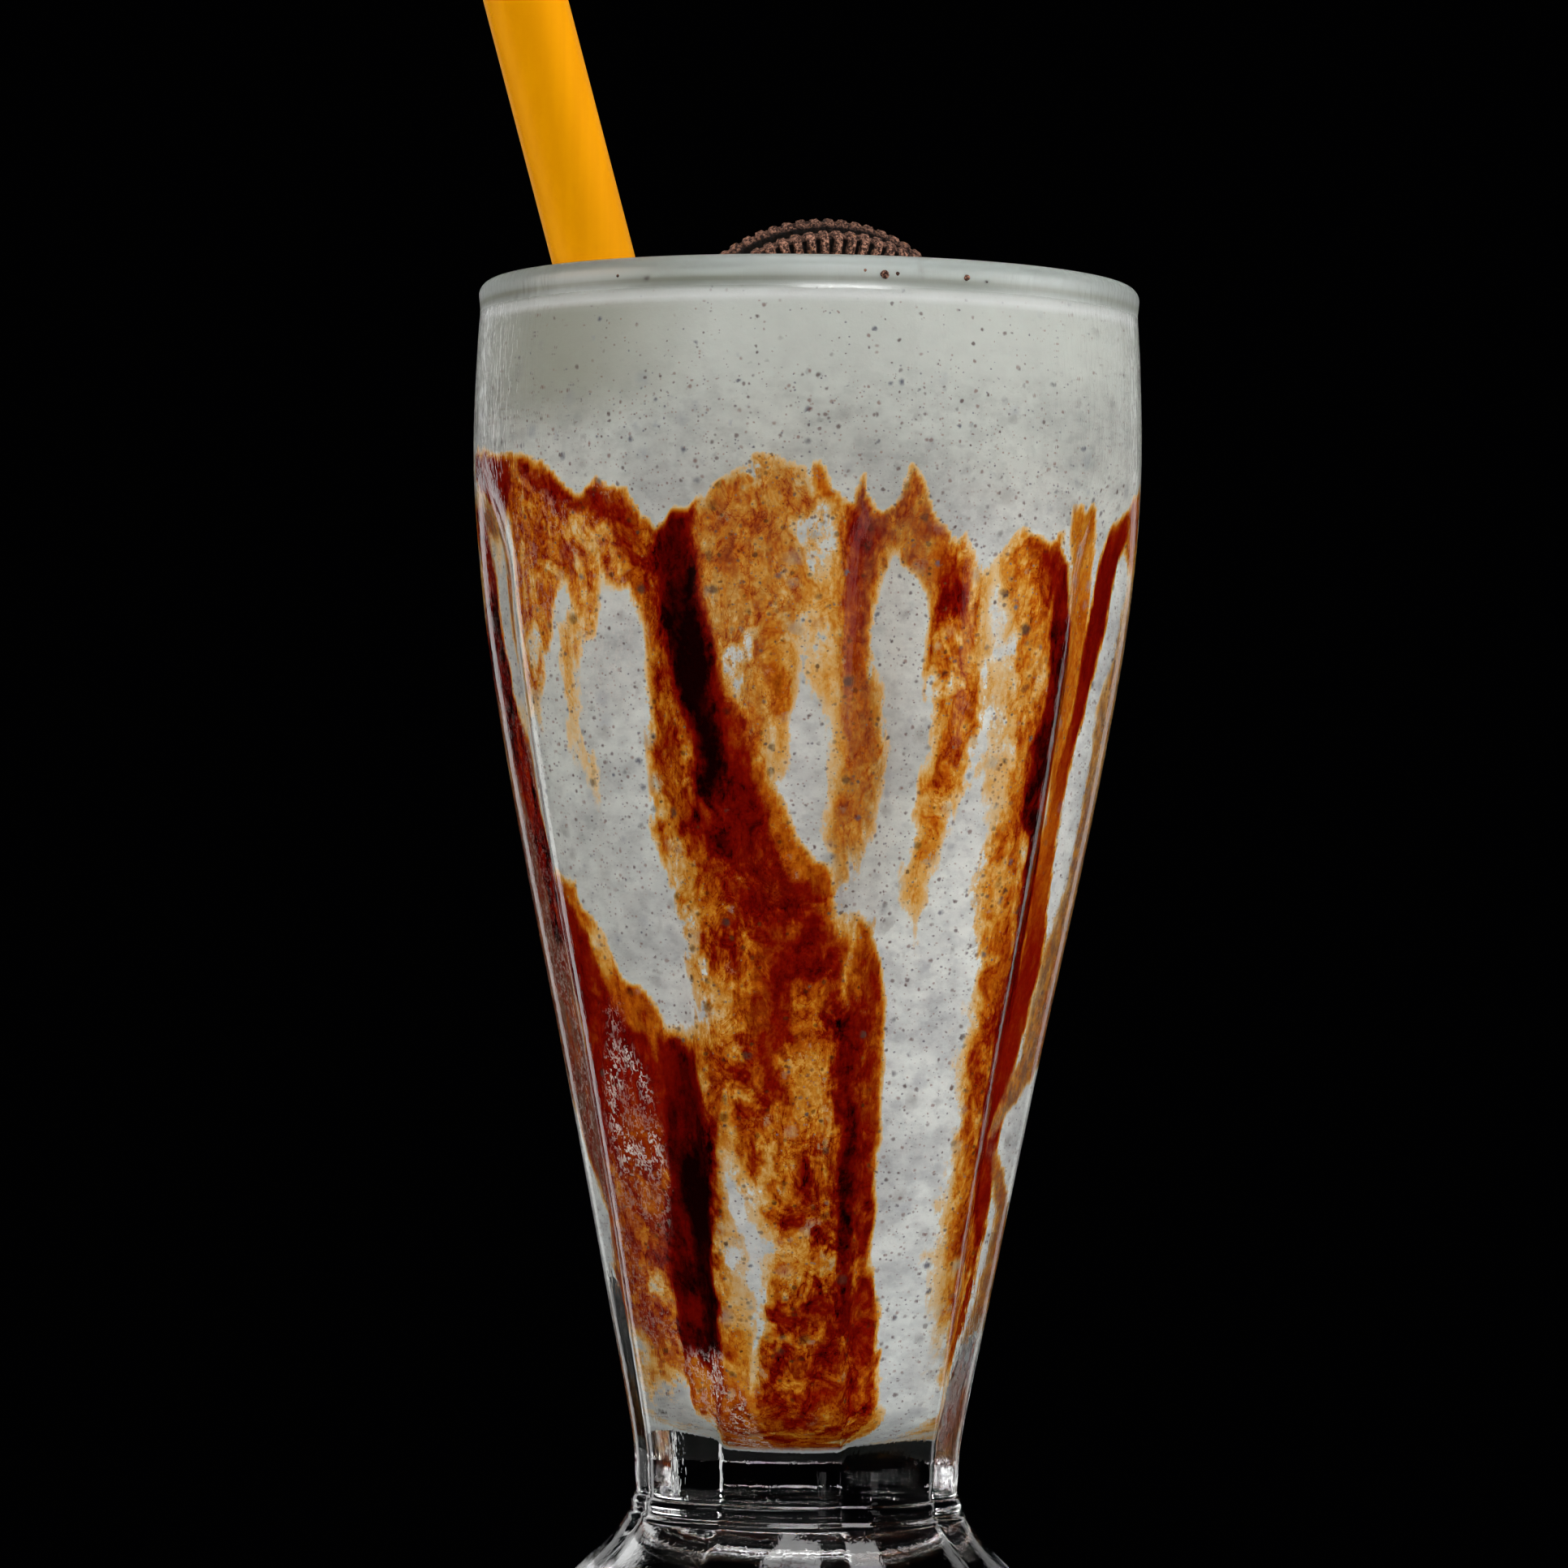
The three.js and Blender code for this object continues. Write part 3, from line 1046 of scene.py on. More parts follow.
    def _press(self, piece: bpy.types.Object, material: bpy.types.Material) -> None:
        """Presses the flutes into the outer wall.

        Args:
            piece: The plain turned glass.
            material: Its material.
        """
        inputs = {
            "Flutes": self.flutes, "Turn": self.turn, "Groove rounding": self.groove_rounding,
            "Axis X": self.axis[0] * MM, "Axis Y": self.axis[1] * MM,
        }
        rule = Rule("press_flutes", inputs)
        split = rule.raw("ShaderNodeSeparateXYZ", {}, {0: rule.add("GeometryNodeInputPosition", {}, {})})
        x, y, z = (Wire(rule, socket) for socket in split.outputs)
        across = x - rule.given("Axis X")
        along = y - rule.given("Axis Y")
        angle = across.apply("ARCTAN2", -along)
        turn = (angle - rule.given("Turn")) * rule.given("Flutes") / (2 * math.pi)
        from_crest = abs(turn - turn.apply("ROUND")) * 2.0
        round_off = rule.given("Groove rounding")
        from_groove = 1.0 - from_crest
        softened = (from_groove * from_groove + round_off * round_off).apply("SQRT") - round_off
        dip = (1.0 - softened).apply("MAXIMUM", 0.0) ** 2.0
        scale = 1.0 - rule.stored("flute_depth") * dip
        inputs = {0: across * scale + rule.given("Axis X"), 1: along * scale + rule.given("Axis Y"), 2: z}
        place = rule.add("ShaderNodeCombineXYZ", {}, inputs)
        moved = {"Geometry": rule.given("Geometry"), "Position": place}
        rule.end(rule.add("GeometryNodeSetPosition", {}, moved), material)
        rule.run(piece)


@dataclass(frozen=True)
class Streak:
    """One run of syrup down the inner wall, or a clear place in it.

    Attributes:
        name: What it is.
        softness: How wide its edges fade, in mm.
        mottle: How uneven it is.
        frost: How much pale sparkle lies in it.
        rows: Height in mm, left and right edge in degrees and thickness, from its foot up.
        haze: How much dull mist lies over it.
    """

    name: str
    softness: float
    mottle: float
    frost: float
    rows: tuple[tuple[float, float, float, float], ...]
    haze: float = 0.0


SHORE: tuple[tuple[float, float], ...] = (
    (-87, 160), (-75, 159), (-67, 158.5), (-60, 158), (-53, 157.5), (-50, 155), (-47, 153), (-44, 153),
    (-40, 155), (-35, 153), (-32, 149.5), (-29, 148), (-25, 150), (-21, 151), (-16, 154), (-12, 156),
    (-8, 158), (-5, 158), (-2, 155), (1, 156), (4, 153), (7, 151), (9, 155), (13, 150), (16, 153),
    (19, 157), (22, 154), (24, 150), (28, 147), (30, 148), (33, 145), (37, 145.5), (41, 148.5), (43, 149),
    (48, 147), (51, 148), (54, 151), (57, 152.5), (62, 153), (69, 151), (72, 150), (77, 152.5), (86, 156),
    (88, 157),
)

SYRUP: tuple[Streak, ...] = (
    Streak("left_film", 1.0, 0.35, 0.3, (
        (50, -119, -95, 0.60), (61, -89, -70, 0.62), (82, -101, -77, 0.62), (104, -101, -80, 0.60),
        (130, -100, -80, 0.56), (137, -100, -78, 0.50), (146, -99, -76, 0.46), (152, -96, -66, 0.40),
    ), 0.85),
    Streak("left_edge_pale", 0.5, 0.1, 0.3, (
        (124, -82, -77, 0.10), (130, -85, -78, 0.05), (136, -88, -81, 0.03), (143, -88, -80, 0.06),
        (148, -86, -79, 0.12),
    )),
    Streak("left_edge_red", 0.4, 0.5, 0.12, (
        (98, -86, -68, 0.78), (103, -85, -67, 0.80), (108, -88, -77, 0.80), (119, -91, -83, 0.82),
        (130, -96, -84, 0.82), (135, -101, -86, 0.80), (146, -99, -88, 0.76), (152, -96, -85, 0.74),
    )),
    Streak("left_top_red", 0.5, 0.3, 0.0, (
        (153, -77, -65, 0.66), (155, -84, -64, 0.72), (157, -88, -63, 0.70), (161, -85, -63, 0.60),
    )),
    Streak("left_lobe_amber", 1.6, 0.8, 0.18, (
        (128, -73, -61, 0.12), (130, -68, -55, 0.22), (134, -67, -47, 0.30), (137, -67, -43, 0.33),
        (140, -67, -39, 0.39), (144, -67, -33, 0.42), (150, -65, -28, 0.45), (160, -63, -27, 0.46),
    )),
    Streak("left_lobe_shore", 0.8, 0.45, 0.0, (
        (141, -35, -31, 0.50), (144, -37, -31, 0.56), (147, -38, -30, 0.62), (150, -40, -32, 0.66),
        (152, -50, -36, 0.68), (154, -56, -44, 0.66), (156, -60, -50, 0.60), (160, -61, -53, 0.50),
    )),
    Streak("left_white_tongue_outer", 0.7, 0.1, 0.3, (
        (128, -61, -52, 0.00), (134, -58, -50, 0.00), (138, -56, -48, 0.00), (141, -53, -51, 0.00),
    )),
    Streak("left_white_tongue_inner", 0.7, 0.12, 0.2, (
        (127, -50, -33, 0.00), (133, -47, -33, 0.00), (137, -45, -32, 0.00), (141, -43, -38, 0.06),
        (145, -43, -42, 0.12),
    )),
    Streak("left_tan_thread", 1.6, 0.8, 0.0, (
        (106, -51, -49, 0.04), (114, -50, -47, 0.07), (118, -52, -48, 0.10), (123, -54, -50, 0.10),
        (134, -54, -50, 0.22),
    ), 0.15),
    Streak("brown_column", 1.2, 0.7, 0.0, (
        (74, -27, -24, 0.20), (82, -28, -24, 0.20), (93, -28, -23, 0.22), (100, -30, -23, 0.28),
        (104, -32, -22, 0.36), (109, -34, -22, 0.46), (117, -34, -22, 0.48), (123, -34, -23, 0.48),
        (133, -32, -24, 0.50), (139, -34, -25, 0.52), (143, -35, -25, 0.52), (153, -30, -24, 0.52),
    )),
    Streak("centre_tan_field", 2.6, 0.85, 0.0, (
        (117, -8, -6, 0.12), (120, -11, -5, 0.20), (125, -14, -5, 0.24), (131, -17, -2, 0.26),
        (137, -22, -1, 0.26), (143, -22, 6, 0.27), (149, -22, 6, 0.28), (153, -18, 1, 0.28),
        (155, -14, -1, 0.23), (159, -10, -2, 0.13),
    ), 0.25),
    Streak("centre_orange_thread", 0.8, 0.35, 0.0, (
        (121, -5, -3, 0.20), (125, -6, -3, 0.34), (130, -7, -4, 0.44), (135, -7, -5, 0.42),
    )),
    Streak("main_stripe", 0.8, 0.3, 0.0, (
        (108, -21, -4, 0.72), (113, -23, -7, 0.71), (118, -24, -10, 0.72), (123, -25, -12, 0.74),
        (128, -26, -14, 0.77), (134, -28, -17, 0.80), (139, -29, -20, 0.80), (143, -30, -21, 0.77),
        (148, -29, -21, 0.72), (153, -25, -21, 0.66),
    )),
    Streak("main_stripe_core", 1.9, 0.12, 0.0, (
        (106, -22, -18, 0.84), (114, -22, -17, 0.92), (120, -23, -16, 1.00), (125, -24, -17, 1.04),
        (130, -26, -18, 1.04), (136, -28, -20, 1.00), (144, -28, -21, 0.90), (152, -26, -22, 0.80),
    )),
    Streak("amber_column", 1.2, 0.75, 0.0, (
        (28, -34, 46, 0.44), (41, -27, 40, 0.50), (52, -27, 20, 0.48), (62, -27, 12, 0.45),
        (72, -26, 9, 0.45), (88, -24, 9, 0.49), (98, -24, -8, 0.50), (108, -23, -10, 0.50),
    )),
    Streak("red_diagonal", 1.0, 0.4, 0.0, (
        (90, -10, 9, 0.64), (93, -11, 10, 0.70), (97, -12, 10, 0.72), (101, -12, 7, 0.72),
        (105, -14, 3, 0.71), (109, -22, -3, 0.71), (113, -22, -7, 0.72),
    )),
    Streak("red_diagonal_fringe", 0.8, 0.35, 0.0, (
        (99, 6, 10, 0.50), (103, 2, 7, 0.46), (106, -3, 4, 0.46), (109, -5, 0, 0.46),
        (112, -7, -4, 0.46), (116, -9, -6, 0.48), (120, -11, -9, 0.50),
    )),
    Streak("red_streak", 0.9, 0.35, 0.0, (
        (69, -8, -6, 0.46), (73, -9, -6, 0.56), (78, -10, -4, 0.66), (83, -11, -3, 0.64),
        (88, -12, -3, 0.66), (94, -11, -1, 0.68),
    )),
    Streak("amber_lumps", 1.0, 0.8, 0.0, (
        (63, -5, 3, 0.40), (68, -10, 4, 0.34), (72, -14, 6, 0.28), (78, -5, 8, 0.30), (82, -6, 8, 0.25),
        (86, -3, 5, 0.34), (90, -3, 5, 0.44),
    )),
    Streak("centre_cream", 1.8, 0.45, 0.0, (
        (39, -26, -16, 0.30), (43, -26, -14, 0.22), (51, -26, -12, 0.18), (56, -26, -9, 0.16),
        (60, -27, -7, 0.16), (64, -26, -11, 0.19), (67, -26, -15, 0.25), (71, -26, -20, 0.38),
    )),
    Streak("centre_white_thread", 0.9, 0.2, 0.3, (
        (42, -21, -17, 0.05), (46, -18, -15, 0.02), (52, -16, -12, 0.00), (57, -15, -12, 0.02),
        (62, -20, -15, 0.02), (65, -22, -17, 0.00), (68, -23, -20, 0.06),
    )),
    Streak("right_stripe", 0.7, 0.4, 0.0, (
        (34, 24, 36, 0.46), (40, 17, 38, 0.58), (47, 13, 33, 0.64), (54, 11, 28, 0.66),
        (60, 9, 25, 0.66), (66, 7, 23, 0.65), (72, 6, 23, 0.64), (78, 8, 22, 0.62),
        (85, 9, 22, 0.60), (91, 10, 20, 0.58), (95, 10, 18, 0.56), (98, 11, 15, 0.52),
    )),
    Streak("right_stripe_core", 1.5, 0.3, 0.0, (
        (38, 15, 19, 0.56), (44, 13, 18, 0.70), (50, 11, 17, 0.82), (55, 10, 17, 0.88),
        (60, 9, 16, 0.90), (66, 8, 15, 0.88), (72, 8, 14, 0.84), (80, 8, 12, 0.80), (86, 9, 12, 0.74),
    )),
    Streak("right_stripe_glow", 1.0, 0.5, 0.0, (
        (37, 28, 35, 0.50), (43, 23, 31, 0.56), (49, 20, 27, 0.57), (55, 19, 25, 0.57),
        (60, 18, 23, 0.58), (66, 17, 21, 0.60),
    )),
    Streak("lower_left_red", 0.9, 0.25, 0.0, (
        (62, -89, -30, 0.55), (67, -79, -27, 0.62), (72, -78, -26, 0.70), (78, -75, -28, 0.70),
        (83, -69, -34, 0.70), (89, -68, -42, 0.72), (93, -77, -49, 0.72), (97, -78, -53, 0.70),
        (101, -77, -57, 0.66), (103, -77, -62, 0.62),
    )),
    Streak("lower_left_orange", 0.7, 0.35, 0.0, (
        (74, -31, -26, 0.40), (77, -35, -27, 0.50), (80, -40, -29, 0.50), (84, -43, -35, 0.48),
        (88, -53, -40, 0.50), (92, -56, -48, 0.46), (94, -56, -51, 0.26), (98, -58, -51, 0.26),
        (100, -60, -56, 0.40), (103, -66, -59, 0.44),
    )),
    Streak("lower_left_frost", 1.2, 0.3, 1.0, (
        (63, -62, -46, 0.50), (67, -65, -43, 0.58), (72, -64, -44, 0.60), (76, -63, -44, 0.62),
        (80, -61, -47, 0.64), (85, -57, -52, 0.66),
    )),
    Streak("lower_left_brown", 1.2, 0.8, 0.2, (
        (36, -87, -50, 0.06), (41, -84, -55, 0.28), (45, -80, -54, 0.40), (51, -107, -50, 0.46),
        (60, -88, -46, 0.48), (66, -80, -43, 0.50),
    ), 0.12),
    Streak("lower_black_stripe", 0.7, 0.12, 0.0, (
        (39, -54, -31, 0.82), (45, -53, -30, 0.86), (51, -51, -28, 0.86), (60, -47, -28, 0.86),
        (67, -43, -26, 0.84), (72, -40, -25, 0.82), (78, -40, -28, 0.80), (83, -41, -33, 0.74),
    )),
    Streak("lower_black_core", 1.8, 0.06, 0.0, (
        (38, -46, -32, 0.90), (45, -45, -31, 0.98), (55, -42, -29, 1.02), (64, -38, -27, 1.02),
        (72, -34, -26, 0.96), (80, -35, -29, 0.86),
    )),
    Streak("lower_frost", 0.8, 0.5, 1.3, (
        (32, -46, -16, 0.44), (39, -53, -26, 0.52), (42, -56, -30, 0.46),
    )),
    Streak("base_brown", 1.0, 0.85, 0.0, (
        (33, -19, 28, 0.40), (37, -16, 37, 0.52), (41, -13, 36, 0.56), (48, -11, 14, 0.54),
        (56, -8, 12, 0.52), (63, -5, 10, 0.50), (71, -1, 8, 0.48),
    )),
    Streak("arc_orange", 0.6, 0.2, 0.0, (
        (151, 4, 6, 0.50), (153, 2, 5, 0.48), (155, 0, 3, 0.46), (158, -1, 1, 0.42),
    )),
    Streak("spike_brown", 1.3, 0.6, 0.0, (
        (102, 7, 11, 0.14), (106, 6, 12, 0.22), (111, 5, 14, 0.28), (116, 6, 16, 0.32),
        (120, 7, 17, 0.35), (125, 7, 15, 0.36), (131, 6, 13, 0.40), (137, 6, 13, 0.48),
        (143, 6, 13, 0.56), (149, 5, 13, 0.56), (153, 7, 12, 0.52), (156, 8, 10, 0.46),
    ), 0.35),
    Streak("spike_core", 0.8, 0.3, 0.0, (
        (132, 8, 11, 0.56), (137, 7, 10, 0.62), (144, 6, 10, 0.68), (149, 6, 9, 0.68),
    )),
    Streak("tan_column", 2.4, 0.5, 0.0, (
        (123, 5, 7, 0.16), (128, 3, 6, 0.20), (133, 1, 6, 0.24), (141, 1, 6, 0.26),
    )),
    Streak("shoulder_brown", 1.0, 0.65, 0.0, (
        (142, 14, 28, 0.30), (144, 13, 28, 0.38), (147, 13, 27, 0.42), (151, 12, 24, 0.40),
        (154, 15, 22, 0.38), (157, 18, 21, 0.20),
    ), 0.4),
    Streak("shoulder_brown_leg", 0.8, 0.4, 0.0, (
        (136, 25, 27, 0.26), (140, 24, 27, 0.40), (145, 23, 28, 0.44),
    )),
    Streak("white_column_top", 0.8, 0.1, 0.0, (
        (133, 13, 25, 0.00), (140, 13, 23, 0.00), (144, 14, 18, 0.02),
    )),
    Streak("veil_tan", 3.0, 0.5, 0.0, (
        (110, 41, 51, 0.10), (118, 39, 51, 0.14), (124, 37, 51, 0.17), (129, 34, 51, 0.18),
        (134, 33, 51, 0.17), (139, 34, 52, 0.16), (145, 35, 51, 0.18), (150, 35, 50, 0.16),
    ), 0.12),
    Streak("veil_amber", 1.8, 0.7, 0.0, (
        (122, 45, 49, 0.16), (132, 43, 49, 0.26), (140, 42, 49, 0.30), (146, 41, 48, 0.34),
    )),
    Streak("veil_white_thread", 1.0, 0.4, 0.0, (
        (130, 38, 40, 0.10), (134, 37, 40, 0.06), (139, 36, 39, 0.05), (144, 36, 38, 0.09),
    )),
    Streak("patch_orange", 1.4, 0.7, 0.0, (
        (132, 25, 31, 0.36), (135, 25, 34, 0.40), (140, 26, 34, 0.44), (144, 27, 34, 0.44),
        (148, 28, 30, 0.46),
    )),
    Streak("patch_dark", 0.8, 0.4, 0.0, (
        (133, 24, 29, 0.62), (136, 24, 30, 0.72), (140, 25, 31, 0.74), (143, 26, 31, 0.62),
    )),
    Streak("patch_leg", 1.7, 0.7, 0.0, (
        (98, 27, 29, 0.10), (104, 24, 29, 0.22), (106, 24, 30, 0.28), (110, 25, 31, 0.30),
        (115, 25, 33, 0.36), (119, 26, 35, 0.42), (124, 27, 37, 0.40), (129, 26, 37, 0.36),
        (133, 25, 33, 0.32),
    )),
    Streak("right_amber_fringe", 2.6, 0.75, 0.0, (
        (47, 55, 68, 0.06), (51, 50, 64, 0.10), (56, 47, 60, 0.13), (62, 46, 56, 0.14),
        (68, 45, 54, 0.11), (76, 43, 50, 0.09), (84, 42, 49, 0.08),
    ), 0.1),
    Streak("right_amber", 1.6, 0.6, 0.0, (
        (45, 68, 95, 0.40), (52, 58, 85, 0.42), (60, 53, 81, 0.44), (67, 51, 70, 0.44),
        (78, 48, 59, 0.44), (85, 47, 58, 0.46), (91, 46, 59, 0.46), (97, 44, 57, 0.46),
        (104, 42, 55, 0.46), (109, 43, 54, 0.44), (114, 46, 55, 0.44), (120, 48, 55, 0.43),
        (134, 49, 54, 0.42), (140, 47, 53, 0.44), (146, 43, 52, 0.46),
    )),
    Streak("right_stripe_inner", 0.8, 0.3, 0.0, (
        (47, 87, 95, 0.66), (57, 81, 84, 0.70), (67, 59, 72, 0.72), (77, 57, 67, 0.74),
        (89, 57, 68, 0.78), (95, 57, 67, 0.80), (101, 56, 66, 0.82), (108, 56, 66, 0.88),
        (114, 52, 63, 0.90), (120, 51, 63, 0.86), (132, 53, 63, 0.84), (139, 52, 58, 0.80),
        (145, 48, 55, 0.70), (147, 46, 51, 0.56),
    )),
    Streak("right_groove_amber", 0.5, 0.25, 0.0, (
        (93, 69, 73, 0.50), (104, 65, 72, 0.52), (114, 65, 71, 0.46), (119, 64, 70, 0.44),
        (129, 63, 70, 0.40), (140, 58, 70, 0.36), (149, 55, 68, 0.38), (154, 54, 63, 0.42),
    )),
    Streak("right_stripe_outer", 0.4, 0.12, 0.0, (
        (47, 91, 98, 0.60), (57, 84, 84, 0.62), (67, 66, 76, 0.66), (77, 64, 74, 0.70),
        (83, 64, 75, 0.70), (89, 67, 76, 0.68), (95, 67, 77, 0.64), (102, 67, 75, 0.58),
        (108, 66, 73, 0.52), (114, 67, 72, 0.52), (119, 68, 73, 0.60), (130, 70, 75, 0.74),
        (137, 70, 77, 0.78), (143, 72, 79, 0.76), (148, 73, 81, 0.74), (154, 72, 83, 0.60),
    )),
    Streak("right_top_orange", 0.6, 0.3, 0.0, (
        (144, 89, 92, 0.26), (148, 82, 91, 0.36), (152, 80, 90, 0.46), (158, 77, 87, 0.40),
    )),
    Streak("right_film", 1.0, 0.3, 0.1, (
        (48, 103, 111, 0.40), (62, 86, 99, 0.40), (72, 68, 68, 0.36), (83, 77, 94, 0.36),
        (94, 78, 94, 0.34), (104, 81, 94, 0.30), (115, 83, 93, 0.28), (125, 81, 93, 0.28),
        (136, 84, 93, 0.28), (142, 86, 93, 0.22),
    ), 0.8),
    Streak("base_corner_brown", 1.0, 0.6, 0.0, (
        (34.5, 68, 105, 0.12), (36, 70, 109, 0.26), (38.5, 75, 106, 0.24),
    )),
)


@dataclass(frozen=True)
class Shade:
    """One soft shade on the bare shake, which comes in with height.

    Attributes:
        depth: How dark it is, from 0 to 1.
        rise: The heights in mm between which it comes in.
        middle: The angle of its middle, in degrees.
        width: How far it reaches to each side in degrees, or none if it goes all the way round.
    """

    depth: float
    rise: tuple[float, float]
    middle: float = 0.0
    width: float | None = None

    def at(self, angle: np.ndarray, height: np.ndarray) -> np.ndarray:
        """Gives how dark the shade is at some places.

        Args:
            angle: Their angles in degrees.
            height: Their heights in mm.

        Returns:
            The darkness from 0 to 1.
        """
        around = 1.0 if self.width is None else bell(turn_between(self.middle, angle), self.width)
        return self.depth * around * smoothstep(height, *self.rise)


@dataclass
class Milkshake:
    """The drink, which fills the glass to its rim."""

    glass: FlutedGlass
    level: float = 180.6
    crown: float = 3.2
    crown_power: float = 0.8
    proud: float = 0.15
    swirl_height: float = 0.55
    swirl_arms: int = 2
    swirl_twist: float = 0.16
    swirl_fade: float = 1.0
    swirl_eye: float = 8.0
    segments: int = 416
    side_rows: int = 190
    surface_rings: int = 22
    wander: float = 0.7
    sideways_ripples: tuple[tuple[float, float, float], ...] = ((4.0, 8.0, 1.0), (2.0, 3.0, 0.5))
    upright_ripple: tuple[float, float] = (2.5, 2.5)
    seed: int = 11
    shore_softness: float = 0.9
    end_slope: float = 0.45
    least_radius: float = 5.0
    ragged_gain: float = 1.6
    ragged_most: float = 0.6
    far_side: tuple[float, float] = (90.0, 104.0)
    far_ripple: tuple[float, float] = (7.2, 90.0)
    far_wave: float = 5.0
    far_drop: float = 3.0
    far_top: float = 166.0
    far_angles: tuple[float, float] = (100.0, 250.0)
    bright_height: float = 177.2
    bright_width: float = 0.7
    bright_rim: float = 0.75
    bright_foot: tuple[float, float] = (0.2, 0.6)
    shades: tuple[Shade, ...] = (
        Shade(0.9, (152.0, 168.0), -50.0, 38.0), Shade(0.3, (96.0, 108.0), 13.0, 15.0),
        Shade(0.42, (142.0, 160.0)),
    )
    left_shade: float = 0.32
    left_shade_comes: tuple[float, float] = (20.0, 50.0)
    left_shade_goes: tuple[float, float] = (100.0, 80.0)
    fewer_specks: float = 0.75
    fewer_specks_from: tuple[float, float] = (161.0, 173.0)
    top_edge: float = 0.2
    streaks: tuple[Streak, ...] = SYRUP
    shore: tuple[tuple[float, float], ...] = SHORE

    def build(self, finish: MilkshakeFinish) -> bpy.types.Object:
        """Builds the drink.

        Args:
            finish: Its finish.

        Returns:
            The piece.
        """
        side = self.glass.cavity_profile(self.level, self.proud, self.side_rows)
        edge = side[-1, 0]
        shares = np.linspace(1, 0, self.surface_rings + 1)[1:]
        section = np.concatenate([side, np.column_stack([shares * edge, self.top(shares)])])
        piece = Sculptor.turned("milkshake_drink", section, self.segments, self.glass.axis)
        points = Sculptor.points(piece)
        self._stir(piece, points)
        self._paint(piece, points)
        piece.data.materials.append(finish.material())
        Sculptor.finish(piece, "milkshake", "milkshake")
        return piece

    def top(self, share: np.ndarray | float) -> np.ndarray:
        """Gives the height of the drink's swollen top, before it is stirred.

        Args:
            share: How far out it is, from 0 in the middle to 1 at the edge.

        Returns:
            The height or heights in mm.
        """
        return self.level + self.crown * (1 - share**2) ** self.crown_power

    def _polar(self, points: np.ndarray) -> tuple[np.ndarray, np.ndarray]:
        """Measures points from the glass's axis.

        Args:
            points: Rows of X, Y and Z in mm.

        Returns:
            Their distances in mm and their angles in degrees.
        """
        across = points[:, 0] - self.glass.axis[0]
        along = points[:, 1] - self.glass.axis[1]
        return np.hypot(across, along), np.degrees(np.arctan2(across, -along))

    def _stir(self, piece: bpy.types.Object, points: np.ndarray) -> None:
        """Gives the drink's top its soft swirl.

        Args:
            piece: The drink.
            points: Its vertices in mm.
        """
        radius, angle = self._polar(points)
        top = smoothstep(points[:, 2], self.level, self.level + self.swirl_fade)
        turn = self.swirl_arms * np.radians(90 - angle) + self.swirl_twist * radius
        points[:, 2] += top * self.swirl_height * np.sin(turn) * smoothstep(radius, 0, self.swirl_eye)
        Sculptor.move(piece, points)

    def _paint(self, piece: bpy.types.Object, points: np.ndarray) -> None:
        """Lays the syrup down the wall.

        Args:
            piece: The drink.
            points: Its vertices in mm.
        """
        radius, angle = self._polar(points)
        height = points[:, 2]
        wander = Ripple(self.seed)
        degrees = 180 / math.pi / np.maximum(radius, self.least_radius)
        for width, rise, share in self.sideways_ripples:
            angle = angle + wander.at(angle, height, width, rise) * self.wander * share * degrees
        height = height + wander.at(angle, height, *self.upright_ripple) * self.wander
        layers = np.zeros((4, len(points)))
        seam = np.zeros(len(points))
        for streak in self.streaks + self._hidden_streaks():
            low, left, right, thickness = np.array(streak.rows).T
            sides = [np.interp(height, low, edge) for edge in (left, right)]
            inside = np.minimum(turn_between(sides[0], angle), turn_between(angle, sides[1])) / degrees
            from_end = np.minimum(height - low[0], low[-1] - height)
            ends = from_end * self.end_slope + streak.softness
            depth = np.minimum(inside, ends)
            cover = smoothstep(depth, -streak.softness, streak.softness)
            values = (np.interp(height, low, thickness), streak.mottle, streak.frost, streak.haze)
            seam = seam * (1 - cover) + self._seam(values[0] - layers[0], cover)
            for layer, value in zip(layers, values):
                layer += (value - layer) * cover
        shore = np.array(self.shore)
        below = np.interp(angle, shore[:, 0], shore[:, 1], period=360) - height
        far = smoothstep(np.abs(turn_between(angle, 0.0)), *self.far_side)
        waves = wander.at(angle, height, *self.far_ripple) * self.far_wave - self.far_drop
        below = below + far * waves
        cover = smoothstep(below, -self.shore_softness, self.shore_softness)
        seam = np.maximum(seam * cover, self._seam(layers[0], cover))
        layers *= cover
        names = ("syrup", "mottle", "frost", "haze", "seam")
        for name, layer in zip(names, (*layers, seam)):
            Sculptor.store(piece, name, layer)
        self._tint(piece, points, angle)

    def _seam(self, step: np.ndarray, cover: np.ndarray) -> np.ndarray:
        """Finds how ragged the edge of a layer is.

        Args:
            step: The change of thickness across the edge.
            cover: How much the layer covers, from 0 to 1.

        Returns:
            The raggedness, which is largest halfway through the edge.
        """
        return np.minimum(np.abs(step) * self.ragged_gain, self.ragged_most) * 4 * cover * (1 - cover)

